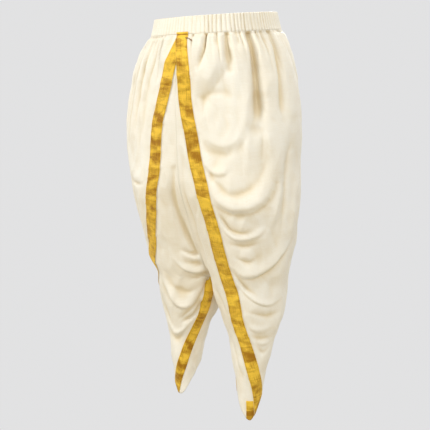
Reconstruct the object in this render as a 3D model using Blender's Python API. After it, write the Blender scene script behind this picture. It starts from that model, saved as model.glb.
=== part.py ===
"""A ready-made dhoti: gathered leg drapes on an elastic waistband, edged with gold tape.

Units are metres and +Z is up. The wearer faces -Y, so the wearer's left is +X. The origin is
the middle of the waistband, half way up it, where the wearer holds the garment.

Each half of the garment is a lofted shell. At any height its section is an oval. Above the
crotch only the part beyond the garment's middle plane is used, an open arc from the
centre-front seam round to the centre-back seam. Below the crotch it is a closed loop round
the leg. Angles are measured round that oval in degrees: 0 at the front, 90 at the outer side,
180 at the back, and below 0 towards the inner leg.
"""
from collections import namedtuple

import bmesh
import bpy
import numpy as np

# ---------------------------------------------------------------- driving sizes
BAND_HEIGHT = 0.042            # elastic casing, seam to top edge
BAND_WALL = 0.003
BAND_FLUTES = 70               # shirring tucks all round the casing
FLUTE_COLUMNS = 3
FLUTE_RELIEF = 0.0016
CROWN = 0.0015                 # the casing's top edge is rounded over the elastic
PLAIN_AT = 335.0               # the flutes are weaker round this angle
PLAIN_REACH = 25.0
PLAIN_SHARE = 0.7

CLOTH = 0.0018                 # wall of the silk panels
TAPE = 0.0010                  # wall of the gold tape
FRONT_TAPE = 0.038             # width, before it is turned under a little at both ends
FRONT_TAPE_AT_WAIST = 0.033
FRONT_TAPE_AT_ANKLE = 0.030
TAPE_WIDENS = (-0.030, -0.150)
TAPE_NARROWS = (-0.500, -0.850)
LOWER_TAPE_WIDTH = 0.027
SEAM_GAP = 0.0003              # between pieces that meet
LEG_SEAM_GAP = 0.0006          # the seam on the inner leg twists as it runs down
LAYER_GAP = 0.0012             # between panels that lie over each other
UNDERLAP = 0.050               # how far the inner panel runs under the overlay
SIDE_CLEARANCE = 0.0002        # each half stays this far from the middle plane

LEVEL_TOP = 0.030              # panels are offset level beside the band, then square
CROTCH = -0.626
LOWER_TAPE_TOP = CROTCH        # the lower tape starts just under the crotch
UNCUT_HEM = -0.900             # leg length before the hem is cut to its point
HEM_START = -0.700             # where the slanting hem begins to pull the rows down

LEAST_OPEN = 2.5               # degrees of inner panel in front of an overlay's edge

GATHERS_PER_HALF = 17
GATHER_DEPTH = 0.0042
GATHER_LENGTH = 0.090
GATHER_START = 17.0
GATHER_RAMP = (13.0, 24.0)     # the front is flat under the crossing tapes

WAIST_RISE_LEFT = 0.045        # how the waist tips up towards the left side
WAIST_RISE_BACK = 0.035        # and towards the back
WAIST_DROP = 0.002
TIP_FADE = 0.250               # the tipping dies out this far below the waist

FRONT_LIFT = 0.0018            # both overlays stand a little off the inner panels in front
CROSS_LIFT = 0.0034            # and the left one climbs over the right one at the waist
CROSS_BOTTOM = -0.100
CROSS_FADE = 0.100
CROSS_ANGLES = (14.0, 32.0)    # full lift before the first angle, none after the second

PANEL_COLUMNS = 34             # behind the tape and the underlap, two for each gather
INNER_COLUMNS = 8              # between the centre-front seam and the overlay's edge
Stretch = namedtuple("Stretch", "top bottom rows")
ROW_PLAN = (
    Stretch(-BAND_HEIGHT / 2 - SEAM_GAP, -0.082, 4),
    Stretch(-0.082, CROTCH + 0.006, 20),
    Stretch(CROTCH + 0.006, CROTCH - 0.006, 1),
    Stretch(CROTCH - 0.006, UNCUT_HEM, 9),
)

# ---------------------------------------------------------------- oval sections
# middle_out and middle_back place the oval's centre; the others are its half sizes
Section = namedtuple(
    "Section", "height middle_out middle_back left_out right_out front_depth back_depth")
SECTIONS = (
    Section(0.021, 0.000, 0.000, 0.160, 0.160, 0.128, 0.128),
    Section(-0.021, 0.000, 0.000, 0.172, 0.172, 0.135, 0.138),
    Section(-0.060, 0.000, 0.000, 0.194, 0.200, 0.143, 0.148),
    Section(-0.120, 0.003, 0.000, 0.211, 0.229, 0.144, 0.158),
    Section(-0.200, 0.010, 0.000, 0.219, 0.250, 0.144, 0.164),
    Section(-0.280, 0.026, 0.002, 0.202, 0.247, 0.143, 0.164),
    Section(-0.340, 0.048, 0.004, 0.176, 0.217, 0.143, 0.158),
    Section(-0.400, 0.074, 0.006, 0.149, 0.171, 0.142, 0.148),
    Section(-0.468, 0.088, 0.012, 0.128, 0.142, 0.130, 0.132),
    Section(-0.547, 0.090, 0.020, 0.111, 0.119, 0.115, 0.115),
    Section(-0.595, 0.091, 0.024, 0.099, 0.101, 0.105, 0.103),
    Section(-0.626, 0.092, 0.026, 0.092, 0.092, 0.098, 0.098),
    Section(-0.660, 0.095, 0.026, 0.088, 0.088, 0.092, 0.092),
    Section(-0.710, 0.100, 0.024, 0.077, 0.077, 0.079, 0.079),
    Section(-0.770, 0.106, 0.019, 0.057, 0.058, 0.058, 0.058),
    Section(-0.850, 0.106, 0.011, 0.040, 0.041, 0.041, 0.041),
    Section(-0.920, 0.106, 0.008, 0.030, 0.031, 0.031, 0.031),
    Section(-0.980, 0.106, 0.006, 0.024, 0.024, 0.024, 0.024),
)

# ---------------------------------------------------------------- edges, hems and folds
EdgePoint = namedtuple("EdgePoint", "height angle")
Hem = namedtuple("Hem", "tip_angle tip_height round_height sharpness")
# a drop fold hangs from the band; a swag sags like a cowl between two ends
Drop = namedtuple("Drop", "top_angle top_height low_angle low_height width depth")
Swag = namedtuple("Swag", "angle height low_angle low_height end_angle end_height width depth")
Half = namedtuple("Half", "name sign overlay_edge lower_edge hem drops swags")

LEFT = Half(
    name="left",
    sign=1,
    overlay_edge=(
        EdgePoint(0.000, -1.5), EdgePoint(-0.090, 2.0), EdgePoint(-0.165, 1.2),
        EdgePoint(-0.260, 2.0), EdgePoint(-0.350, -1.5), EdgePoint(-0.410, -5.5),
        EdgePoint(-0.505, -7.5), EdgePoint(-0.583, -5.0), EdgePoint(-0.650, 0.0),
        EdgePoint(-0.733, 1.0), EdgePoint(-0.783, 7.0), EdgePoint(-0.847, 28.0),
        EdgePoint(-0.897, 49.0), EdgePoint(-0.951, 66.0), EdgePoint(-0.980, 72.0)),
    lower_edge=(
        EdgePoint(-0.626, -90.0), EdgePoint(-0.720, -92.0), EdgePoint(-0.780, -95.0),
        EdgePoint(-0.840, -93.0), EdgePoint(-0.885, -84.0), EdgePoint(-0.915, -64.0),
        EdgePoint(-0.940, -36.0), EdgePoint(-0.970, 0.0)),
    hem=Hem(tip_angle=48.0, tip_height=-0.977, round_height=-0.878, sharpness=8.0),
    drops=(
        Drop(25, -0.030, 19, -0.110, 0.012, -0.004),
        Drop(40, -0.030, 42, -0.115, 0.012, -0.005),
        Drop(62, -0.030, 56, -0.230, 0.014, -0.010),
        Drop(86, -0.030, 92, -0.220, 0.014, -0.007),
        Drop(102, -0.035, 118, -0.150, 0.012, -0.005),
        Drop(140, -0.030, 134, -0.220, 0.014, -0.007),
        Drop(165, -0.030, 168, -0.180, 0.014, -0.006),
        Drop(34, -0.060, 13, -0.165, 0.012, 0.006)),
    swags=(
        Swag(12, -0.145, 29, -0.160, 46, -0.145, 0.020, -0.006),
        Swag(8, -0.210, 28, -0.236, 56, -0.170, 0.022, 0.010),
        Swag(10, -0.355, 38, -0.400, 80, -0.280, 0.026, -0.007),
        Swag(10, -0.380, 40, -0.432, 88, -0.310, 0.028, 0.014),
        Swag(4, -0.440, 34, -0.488, 70, -0.455, 0.016, -0.007),
        Swag(6, -0.480, 36, -0.515, 72, -0.480, 0.015, 0.006),
        Swag(12, -0.590, 58, -0.625, 112, -0.520, 0.022, 0.012),
        Swag(14, -0.610, 58, -0.672, 118, -0.635, 0.016, -0.008),
        Swag(20, -0.680, 55, -0.705, 110, -0.690, 0.016, 0.005),
        Swag(30, -0.740, 60, -0.772, 120, -0.750, 0.014, -0.004),
        Swag(112, -0.280, 150, -0.360, 188, -0.300, 0.022, 0.007),
        Swag(108, -0.400, 152, -0.480, 200, -0.420, 0.022, 0.008),
        Swag(115, -0.520, 160, -0.590, 215, -0.540, 0.020, 0.007),
        Swag(130, -0.660, 180, -0.715, 240, -0.680, 0.018, 0.006)),
)
RIGHT = Half(
    name="right",
    sign=-1,
    overlay_edge=(
        EdgePoint(0.000, -12.0), EdgePoint(-0.030, -10.5), EdgePoint(-0.061, -6.0),
        EdgePoint(-0.089, -1.5), EdgePoint(-0.139, 1.3),
        EdgePoint(-0.185, 3.8), EdgePoint(-0.227, 5.8), EdgePoint(-0.271, 5.6),
        EdgePoint(-0.321, 3.0), EdgePoint(-0.373, -0.5), EdgePoint(-0.463, 0.0),
        EdgePoint(-0.511, 6.0), EdgePoint(-0.579, 17.0), EdgePoint(-0.633, 36.0),
        EdgePoint(-0.700, 66.0), EdgePoint(-0.800, 92.0), EdgePoint(-0.900, 106.0),
        EdgePoint(-0.980, 112.0)),
    lower_edge=(
        EdgePoint(-0.626, -90.0), EdgePoint(-0.645, -82.0), EdgePoint(-0.680, -79.0),
        EdgePoint(-0.720, -80.0), EdgePoint(-0.775, -75.0),
        EdgePoint(-0.827, -60.0), EdgePoint(-0.885, -39.0), EdgePoint(-0.927, -16.0),
        EdgePoint(-0.957, 0.0)),
    hem=Hem(tip_angle=-7.0, tip_height=-0.958, round_height=-0.865, sharpness=4.0),
    drops=(
        Drop(20, -0.030, 24, -0.320, 0.014, 0.005),
        Drop(34, -0.030, 38, -0.360, 0.016, 0.006),
        Drop(50, -0.030, 52, -0.300, 0.016, 0.006),
        Drop(66, -0.030, 72, -0.260, 0.016, 0.006),
        Drop(92, -0.030, 88, -0.240, 0.014, -0.007),
        Drop(116, -0.030, 122, -0.180, 0.014, -0.006),
        Drop(142, -0.030, 138, -0.230, 0.014, -0.007),
        Drop(166, -0.030, 168, -0.190, 0.014, -0.006)),
    swags=(
        Swag(-64, -0.610, -25, -0.660, 34, -0.620, 0.018, 0.010),
        Swag(-70, -0.640, -18, -0.705, 40, -0.660, 0.016, -0.005),
        Swag(-62, -0.700, -5, -0.770, 44, -0.725, 0.016, 0.006),
        Swag(30, -0.400, 70, -0.470, 112, -0.400, 0.022, 0.007),
        Swag(34, -0.510, 74, -0.575, 120, -0.520, 0.020, 0.007),
        Swag(60, -0.640, 100, -0.690, 150, -0.650, 0.018, 0.006),
        Swag(112, -0.280, 150, -0.370, 188, -0.300, 0.022, 0.007),
        Swag(110, -0.420, 154, -0.500, 204, -0.440, 0.022, 0.008),
        Swag(130, -0.570, 172, -0.620, 222, -0.580, 0.020, 0.006),
        Swag(140, -0.700, 185, -0.750, 240, -0.710, 0.016, 0.005)),
)


# ---------------------------------------------------------------- reading the tables
def smooth_read(table, column, height):
    """Value of a named column at a height, on a smooth curve through the table's rows."""
    down = np.array([-row.height for row in table])
    value = np.array([getattr(row, column) for row in table])
    slope = np.gradient(value, down)
    at = np.clip(-np.asarray(height, float), down[0], down[-1])
    row = np.clip(np.searchsorted(down, at) - 1, 0, len(down) - 2)
    span = down[row + 1] - down[row]
    t = (at - down[row]) / span
    start = (2 * t**3 - 3 * t**2 + 1) * value[row] + (t**3 - 2 * t**2 + t) * span * slope[row]
    end = (3 * t**2 - 2 * t**3) * value[row + 1] + (t**3 - t**2) * span * slope[row + 1]
    return start + end


def ease(value, start, end):
    """0 at the start, 1 at the end, and smooth between."""
    t = np.clip((value - start) / (end - start), 0.0, 1.0)
    return t * t * (3.0 - 2.0 * t)


# ---------------------------------------------------------------- the oval of each half
def oval(half, angle, height):
    """Point of the plain oval, and its outward direction, on the half's own side (+X)."""
    turn = np.radians(angle)
    wide = smooth_read(SECTIONS, half.name + "_out", height)
    front = smooth_read(SECTIONS, "front_depth", height)
    back = smooth_read(SECTIONS, "back_depth", height)
    deep = np.where(np.cos(turn) > 0.0, front, back)
    out = smooth_read(SECTIONS, "middle_out", height) + wide * np.sin(turn)
    rear = smooth_read(SECTIONS, "middle_back", height) - deep * np.cos(turn)
    normal_x = np.sin(turn) / wide
    normal_y = -np.cos(turn) / deep
    size = np.hypot(normal_x, normal_y)
    return out, rear, normal_x / size, normal_y / size


def arc_rate(half, angle, height):
    """Metres travelled round the oval for each degree."""
    turn = np.radians(angle)
    wide = smooth_read(SECTIONS, half.name + "_out", height)
    deep = smooth_read(SECTIONS, "front_depth", height)
    return np.radians(np.hypot(wide * np.cos(turn), deep * np.sin(turn)))


def seam_angle(half, height):
    """Angle where the oval meets the middle plane at the front; -90 at the crotch."""
    middle = smooth_read(SECTIONS, "middle_out", height)
    wide = smooth_read(SECTIONS, half.name + "_out", height)
    return -np.degrees(np.arcsin(np.clip(middle / wide, -1.0, 1.0)))


def inner_line(half, height):
    """Where the inner panel starts: centre-front seam, then its free lower edge."""
    return np.where(height > CROTCH, seam_angle(half, height),
                    smooth_read(half.lower_edge, "angle", height))


def back_line(half, height):
    """Where the overlay ends: centre-back seam, then the seam with the inner panel."""
    seam = 180.0 - seam_angle(half, height)
    return np.where(height > CROTCH, seam, 360.0 + inner_line(half, height))


def overlay_line(half, height):
    """Angle of the overlay's free front edge."""
    return smooth_read(half.overlay_edge, "angle", height)


def travel(half, angle, height, distance, line):
    """Angle after going a distance square across from an edge line, round the cloth."""
    probe = 0.01
    most_lean = 1.15
    drift = (line(half, height + probe) - line(half, height - probe)) / (2 * probe)
    lean = np.minimum(np.hypot(1.0, drift * arc_rate(half, angle, height)), most_lean)
    steps = 6
    for _ in range(steps):
        angle = angle + distance * lean / steps / arc_rate(half, angle, height)
    return angle


# ---------------------------------------------------------------- folds
def gathers(angle, height):
    """Uneven small gathers that die away under the band; flat where the tapes cross."""
    turn = np.radians(angle)
    pitch = (180.0 - GATHER_START) / GATHERS_PER_HALF
    phase = 2 * np.pi * (angle - GATHER_START) / pitch + 0.5 * np.sin(3 * turn + 1.0)
    below = -BAND_HEIGHT / 2 - height
    strength = np.exp(-(below / GATHER_LENGTH)**2) * (0.75 + 0.25 * np.sin(5 * turn + 2.0))
    front = ease(angle, *GATHER_RAMP)
    return GATHER_DEPTH * strength * np.cos(phase) * front


def drop_fold(half, fold, angle, height):
    """A fold that hangs nearly straight down, soft at both ends."""
    along = (fold.top_height - height) / (fold.top_height - fold.low_height)
    middle = fold.top_angle + (fold.low_angle - fold.top_angle) * along
    across = (angle - middle) * arc_rate(half, middle, height)
    ends = ease(along, -0.1, 0.2) * (1.0 - ease(along, 0.6, 1.15))
    return fold.depth * ends * np.exp(-(across / fold.width)**2)


def swag_fold(half, fold, angle, height):
    """A cowl fold that sags from one end to its low point and rises to the other."""
    before = angle < fold.low_angle
    reach = np.where(before, fold.low_angle - fold.angle, fold.end_angle - fold.low_angle)
    rise = np.where(before, fold.height, fold.end_height) - fold.low_height
    away = np.abs(angle - fold.low_angle) / reach
    line = fold.low_height + rise * away**2
    slope = 2 * rise * away / (reach * arc_rate(half, angle, height))
    across = (height - line) / np.hypot(1.0, slope)
    ends = 1.0 - ease(away, 0.55, 1.15)
    return fold.depth * ends * np.exp(-(across / fold.width)**2)


def relief(half, angle, height):
    """Height of all folds above the plain oval; none at the seams or under the tape."""
    total = gathers(angle, height)
    for fold in half.drops:
        total = total + drop_fold(half, fold, angle, height)
    for fold in half.swags:
        total = total + swag_fold(half, fold, angle, height)
    rate = arc_rate(half, angle, height)
    near = np.minimum(angle - inner_line(half, height), back_line(half, height) - angle) * rate
    total = total * ease(near, 0.0, 0.020)
    past = (angle - overlay_line(half, height)) * rate
    beside_tape = ease(past, FRONT_TAPE_AT_ANKLE, 2.2 * FRONT_TAPE_AT_ANKLE)
    before_tape = ease(-past, 0.0, FRONT_TAPE_AT_ANKLE)
    return total * np.maximum(beside_tape, before_tape)


# ---------------------------------------------------------------- the draped surface
def draped(half, angle, height):
    """Point of the draped cloth on the half's own side, with the tipped waist."""
    out, rear, normal_x, normal_y = oval(half, angle, height)
    lift = relief(half, angle, height)
    out = out + normal_x * lift
    rear = rear + normal_y * lift
    tip = WAIST_RISE_LEFT * half.sign * out + WAIST_RISE_BACK * rear - WAIST_DROP
    up = height + tip * np.clip(1.0 + height / TIP_FADE, 0.0, 1.0)
    return np.stack([out, rear, up], axis=-1)


def cloth_points(half, angle, height, offset, own_side=True):
    """Points at an offset from the draped cloth, square to it."""
    small_turn, small_rise = 0.5, 0.002
    here = draped(half, angle, height)
    round_it = draped(half, angle + small_turn, height) - draped(half, angle - small_turn, height)
    up_it = draped(half, angle, height + small_rise) - draped(half, angle, height - small_rise)
    normal = np.cross(round_it, up_it)
    # beside the band the offset is level, so that nothing reaches into the band
    level = ease(-height, BAND_HEIGHT / 2, BAND_HEIGHT / 2 + LEVEL_TOP)
    normal[..., 2] *= level
    normal /= np.linalg.norm(normal, axis=-1, keepdims=True)
    # at a centre seam the offset stays in the middle plane, with a mitre
    on_seam = (here[..., 0] < 0.001) & (height > CROTCH) & own_side
    flat = normal * np.array([0.0, 1.0, 1.0])
    mitre = np.maximum(np.linalg.norm(flat, axis=-1, keepdims=True), 0.5)
    normal = np.where(on_seam[..., None], flat / mitre**2, normal)
    points = here + normal * np.asarray(offset)[..., None]
    if own_side:
        points[..., 0] = np.maximum(points[..., 0], SIDE_CLEARANCE)
    points[..., 0] *= half.sign
    return points


def cut_height(half, angle, uncut):
    """Height of a row after the hem is cut to its point."""
    hem = half.hem
    swing = np.cos(np.radians(angle - hem.tip_angle) / 2)
    hem_height = hem.round_height + (hem.tip_height - hem.round_height) * swing**hem.sharpness
    drop = (hem_height - HEM_START) / (UNCUT_HEM - HEM_START)
    return np.where(uncut < HEM_START, HEM_START + (uncut - HEM_START) * drop, uncut)


def row_heights():
    rows = [ROW_PLAN[0].top]
    for stretch in ROW_PLAN:
        rows += list(np.linspace(stretch.top, stretch.bottom, stretch.rows + 1)[1:])
    return np.array(rows)


# ---------------------------------------------------------------- panels as grids of columns
# A column is a line down the cloth, given as a function that returns its angle at a height.
def between(first, second, share):
    """The column that lies a share of the way from one column to another."""
    return lambda height: first(height) + (second(height) - first(height)) * share


def front_tape_width(height):
    widen = ease(-height, -TAPE_WIDENS[0], -TAPE_WIDENS[1])
    narrow = ease(-height, -TAPE_NARROWS[0], -TAPE_NARROWS[1])
    full = FRONT_TAPE_AT_WAIST + (FRONT_TAPE - FRONT_TAPE_AT_WAIST) * widen
    return full + (FRONT_TAPE_AT_ANKLE - full) * narrow


def beside_edge(half, edge):
    """Columns at a free front edge, the middle and far side of its tape, and the underlap."""
    def at(share_of_tape, share_of_underlap):
        def column(height):
            distance = share_of_tape * front_tape_width(height) + share_of_underlap * UNDERLAP
            return travel(half, edge(height), height, distance, overlay_line)
        return column
    return [at(0.0, 0.0), at(0.5, 0.0), at(1.0, 0.0), at(0.0, 1.0)]


def half_gap(half, height):
    """Half the gap at the seam on the inner leg, as an angle."""
    return np.where(height > CROTCH, 0.0, LEG_SEAM_GAP / 2 / arc_rate(half, 90.0, height))


def overlay_columns(half):
    front = beside_edge(half, lambda height: overlay_line(half, height))
    last = lambda height: back_line(half, height) - half_gap(half, height)
    shares = np.linspace(0.0, 1.0, PANEL_COLUMNS + 1)[1:]
    return front + [between(front[-1], last, share) for share in shares]


def inner_columns(half):
    start = lambda height: inner_line(half, height) + half_gap(half, height)
    edge = lambda height: np.maximum(overlay_line(half, height), start(height) + LEAST_OPEN)

    def tape_side(height):
        full = travel(half, start(height), height, LOWER_TAPE_WIDTH, inner_line)
        return np.minimum(full, start(height) + 0.45 * (edge(height) - start(height)))

    shares = np.linspace(0.0, 1.0, INNER_COLUMNS - 1)[1:-1]
    open_front = [between(tape_side, edge, share) for share in shares]
    tape = [start, between(start, tape_side, 0.5), tape_side]
    return tape + open_front + beside_edge(half, edge)


def settle_grid(half, columns):
    """Angles and heights of a grid whose columns are read at their own cut heights."""
    uncut = row_heights()[:, None]
    height = np.repeat(uncut, len(columns), axis=1)
    rounds = 14
    for _ in range(rounds):
        angle = np.stack([column(height[:, i]) for i, column in enumerate(columns)], axis=1)
        height = 0.5 * height + 0.5 * cut_height(half, angle, uncut)
    return angle, height


def overlay_offsets(half, angle, height):
    """Inner and outer face of the overlay: over the inner panel in front, level behind it."""
    edge = overlay_line(half, height)
    past = (angle - edge) * arc_rate(half, angle, height)
    above = (CLOTH + LAYER_GAP) * (1.0 - ease(past, UNDERLAP * 1.15, UNDERLAP * 2.6))
    above = np.where(angle > 0.0, above, CLOTH + LAYER_GAP)
    lift = FRONT_LIFT + (CROSS_LIFT if half is LEFT else 0.0)
    high = ease(height, CROSS_BOTTOM - CROSS_FADE, CROSS_BOTTOM)
    above = above + lift * high * (1.0 - ease(angle, *CROSS_ANGLES))
    return above - CLOTH, above


# ---------------------------------------------------------------- solids
def sheet(bm, points):
    """A grid of faces through a table of points, top row first."""
    rows, columns = points.shape[:2]
    made = bmesh.ops.create_grid(bm, x_segments=columns - 1, y_segments=rows - 1, size=1.0)
    for vertex, point in zip(made["verts"], points.reshape(-1, 3)):
        vertex.co = point
    return made["verts"]


def rim(bm, verts):
    """The open edges of one sheet."""
    inside = set(verts)
    return [edge for edge in bm.edges if edge.is_boundary and edge.verts[0] in inside]


def add_object(bm, name, material):
    bmesh.ops.recalc_face_normals(bm, faces=bm.faces)
    mesh = bpy.data.meshes.new(name)
    bm.to_mesh(mesh)
    bm.free()
    mesh.shade_smooth()
    mesh.materials.append(material)
    piece = bpy.data.objects.new(name, mesh)
    collection.objects.link(piece)
    return piece


def closed_wall(name, inner, outer, material):
    """A cloth wall between two grids of points, closed round its rim."""
    bm = bmesh.new()
    inside = sheet(bm, inner)
    outside = sheet(bm, outer)
    bmesh.ops.bridge_loops(bm, edges=rim(bm, inside) + rim(bm, outside))
    return add_object(bm, name, material)


def silk(name, colour, roughness, metallic):
    material = bpy.data.materials.new(name)
    material.use_nodes = True
    shader = material.node_tree.nodes["Principled BSDF"]
    shader.inputs["Base Color"].default_value = (*colour, 1.0)
    shader.inputs["Roughness"].default_value = roughness
    shader.inputs["Metallic"].default_value = metallic
    return material


def band_ring(offset, heights):
    """Rows of points round the casing, at an offset from its plain oval."""
    columns = FLUTE_COLUMNS * BAND_FLUTES
    angle = np.linspace(0.0, 360.0, columns + 1)[None, :]
    height = np.array(heights)[:, None]
    out, rear, normal_x, normal_y = oval(LEFT, angle, height)
    flute = np.cos(2 * np.pi / FLUTE_COLUMNS * np.arange(columns + 1))[None, :]
    from_plain = (angle - PLAIN_AT + 180.0) % 360.0 - 180.0
    plainer = 1.0 - PLAIN_SHARE * np.exp(-(from_plain / PLAIN_REACH)**2)
    lift = offset + (FLUTE_RELIEF * flute * plainer if offset >= 0.0 else 0.0)
    x = out + normal_x * lift
    y = rear + normal_y * lift
    tip = WAIST_RISE_LEFT * x + WAIST_RISE_BACK * y - WAIST_DROP
    z = height + tip * np.clip(1.0 + height / TIP_FADE, 0.0, 1.0)
    return np.stack([x, y, z], axis=-1)


def waistband():
    """The elastic casing: a ring whose outside is drawn into upright flutes."""
    edge = BAND_HEIGHT / 2 - SEAM_GAP / 2
    crown = BAND_HEIGHT / 2 + CROWN
    outside = band_ring(0.0, [edge - CROWN, 0.0, -edge])
    inside = band_ring(-BAND_WALL, [-edge, edge - CROWN])
    top = band_ring(-BAND_WALL / 2, [crown])
    bm = bmesh.new()
    sheet(bm, np.concatenate([top, outside, inside, top]))
    bmesh.ops.remove_doubles(bm, verts=bm.verts, dist=1e-6)
    return add_object(bm, "waistband", cream)


def overlay(half):
    """Front wrap, side and back of one half, with the tape on its free front edge."""
    angle, height = settle_grid(half, overlay_columns(half))
    low, high = overlay_offsets(half, angle, height)
    own = angle > 60.0
    faces = []
    for offset in (low, high):
        free = cloth_points(half, angle, height, offset, own_side=False)
        kept = cloth_points(half, angle, height, offset, own_side=True)
        faces.append(np.where(own[..., None], kept, free))
    closed_wall(half.name + "_outer_panel", faces[0], faces[1], cream)

    part = np.s_[:, :3]
    tape = []
    for offset in (high + SEAM_GAP, high + SEAM_GAP + TAPE):
        tape.append(cloth_points(half, angle[part], height[part], offset[part], own_side=False))
    closed_wall(half.name + "_front_border", tape[0], tape[1], gold)


def inner_panel(half):
    """Under-layer of one half, with the tape on its free lower edge."""
    angle, height = settle_grid(half, inner_columns(half))
    level = np.zeros_like(angle)
    faces = [cloth_points(half, angle, height, level - CLOTH),
             cloth_points(half, angle, height, level)]
    closed_wall(half.name + "_inner_panel", faces[0], faces[1], cream)

    first_row = int(np.argmax(row_heights() < LOWER_TAPE_TOP))
    part = np.s_[first_row:, :3]
    tape = []
    for offset in (SEAM_GAP, SEAM_GAP + TAPE):
        tape.append(cloth_points(half, angle[part], height[part], level[part] + offset))
    closed_wall(half.name + "_lower_border", tape[0], tape[1], gold)


# ---------------------------------------------------------------- build
for old in list(bpy.data.objects):
    bpy.data.objects.remove(old, do_unlink=True)
collection = bpy.data.collections.new("dhoti")
bpy.context.scene.collection.children.link(collection)
cream = silk("cream_silk", (0.88, 0.82, 0.68), 0.45, 0.0)
gold = silk("gold_tape", (0.72, 0.45, 0.06), 0.35, 0.6)

waistband()
for side in (LEFT, RIGHT):
    inner_panel(side)
    overlay(side)
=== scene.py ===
# %% [markdown]
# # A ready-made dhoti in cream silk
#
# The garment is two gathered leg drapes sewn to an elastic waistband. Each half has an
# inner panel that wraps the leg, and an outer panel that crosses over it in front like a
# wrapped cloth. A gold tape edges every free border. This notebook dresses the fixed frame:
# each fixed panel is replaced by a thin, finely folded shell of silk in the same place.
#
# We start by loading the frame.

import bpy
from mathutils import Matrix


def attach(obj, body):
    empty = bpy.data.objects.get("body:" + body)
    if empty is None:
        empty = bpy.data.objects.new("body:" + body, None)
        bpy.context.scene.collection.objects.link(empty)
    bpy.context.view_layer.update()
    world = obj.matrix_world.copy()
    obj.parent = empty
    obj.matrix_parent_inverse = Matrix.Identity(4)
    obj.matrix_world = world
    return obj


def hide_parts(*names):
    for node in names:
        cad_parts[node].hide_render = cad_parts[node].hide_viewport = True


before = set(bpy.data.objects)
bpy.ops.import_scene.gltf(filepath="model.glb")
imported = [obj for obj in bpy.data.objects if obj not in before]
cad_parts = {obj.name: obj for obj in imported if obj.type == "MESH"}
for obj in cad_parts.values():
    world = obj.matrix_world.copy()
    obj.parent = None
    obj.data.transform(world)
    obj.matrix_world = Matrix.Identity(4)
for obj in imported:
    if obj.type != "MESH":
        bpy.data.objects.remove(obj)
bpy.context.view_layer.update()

# %% Tools for the lesson
from collections import namedtuple

import bmesh
import bpy
import numpy as np
from mathutils import Vector, noise

print("sizes are in metres, and Z is up")

# %% [markdown]
# ## Camera, floor and light
#
# A catalogue picture of silk wants large soft lamps, because silk shows its folds by the
# slow change from lit to unlit and not by hard shadows. The wearer faces -Y. The camera
# stands to the wearer's left front, level with the waist, and looks a little down. The
# floor is one large plain disc, and the world behind it has the same pale grey. Both show
# the camera that grey and light the cloth with a tone of their own.

# %% Camera
CAMERA_PLACE = Vector((1.543, -1.839, -0.050))
CAMERA_AIM = Vector((0.0, 0.0, -0.470))
CAMERA_LENS = 81.4
scene = bpy.context.scene


def add_object(name, data, place=(0.0, 0.0, 0.0), aim=None):
    """A new object in the scene, turned to a point where one is given."""
    made = bpy.data.objects.new(name, data)
    made.location = place
    if aim is not None:
        made.rotation_euler = (Vector(aim) - Vector(place)).to_track_quat("-Z", "Y").to_euler()
    scene.collection.objects.link(made)
    return made


camera_data = bpy.data.cameras.new("camera")
camera_data.lens = CAMERA_LENS
scene.camera = add_object("camera", camera_data, CAMERA_PLACE, CAMERA_AIM)
scene.view_settings.view_transform = "Standard"
print("camera stands", round((CAMERA_AIM - CAMERA_PLACE).length, 2), "m away")

# %% Soft lamps
Lamp = namedtuple("Lamp", "name place aim size watts tint")
LAMPS = (
    Lamp("key", (-1.9, -2.6, 1.1), (0.0, 0.0, -0.6), 1.2, 55.0, (1.0, 0.995, 0.965)),
    Lamp("top", (0.3, -0.6, 2.6), (0.0, 0.0, -0.4), 1.8, 16.0, (1.0, 1.0, 0.99)),
    Lamp("fill", (2.8, -1.9, -0.8), (0.0, 0.0, -0.8), 1.6, 36.0, (1.0, 1.0, 1.0)),
    Lamp("back", (-0.6, 2.6, 1.5), (0.0, 0.0, -0.4), 1.6, 44.0, (1.0, 1.0, 1.0)),
)
for row in LAMPS:
    light = bpy.data.lights.new(row.name, "AREA")
    light.shape = "DISK"
    light.size, light.energy, light.color = row.size, row.watts, row.tint
    add_object(row.name, light, row.place, row.aim)
print("lamps:", ", ".join(row.name for row in LAMPS))

# %% Helpers for paints
SEEN_GREY = (0.76, 0.76, 0.765, 1.0)


def new_paint(name, constants):
    """A material and its shader, with the shader's constant values set."""
    material = bpy.data.materials.new(name)
    material.use_nodes = True
    shader = material.node_tree.nodes["Principled BSDF"]
    for socket, value in constants.items():
        shader.inputs[socket].default_value = value
    return material, shader


def feed(tree, sockets, values):
    """Give each socket its value: a plain one is set, and a node's output is linked."""
    for socket, value in zip(sockets, values):
        if isinstance(value, bpy.types.NodeSocket):
            tree.links.new(value, socket)
        else:
            socket.default_value = value


def mix_colour(tree, factor, first, second):
    """The first colour where the factor is 0 and the second where it is 1."""
    node = tree.nodes.new("ShaderNodeMix")
    node.data_type = "RGBA"
    feed(tree, (node.inputs[0], node.inputs[6], node.inputs[7]), (factor, first, second))
    return node.outputs[2]


def light_with(tree, socket, hidden):
    """The backdrop's grey for the camera, and another colour for every other ray."""
    rays = tree.nodes.new("ShaderNodeLightPath").outputs["Is Camera Ray"]
    tree.links.new(mix_colour(tree, rays, hidden, SEEN_GREY), socket)


print("the camera sees the grey", SEEN_GREY[:3])

# %% World and floor
AMBIENT = 1.20
FLOOR_GLOW = (0.58, 0.57, 0.54, 1.0)
FLOOR_HEIGHT = -1.080
FLOOR_RADIUS = 60.0
FLOOR_SIDES = 96


def baked(bm, name):
    """A mesh with the faces of a bmesh, which is then freed."""
    mesh = bpy.data.meshes.new(name)
    bm.to_mesh(mesh)
    bm.free()
    return mesh


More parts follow.
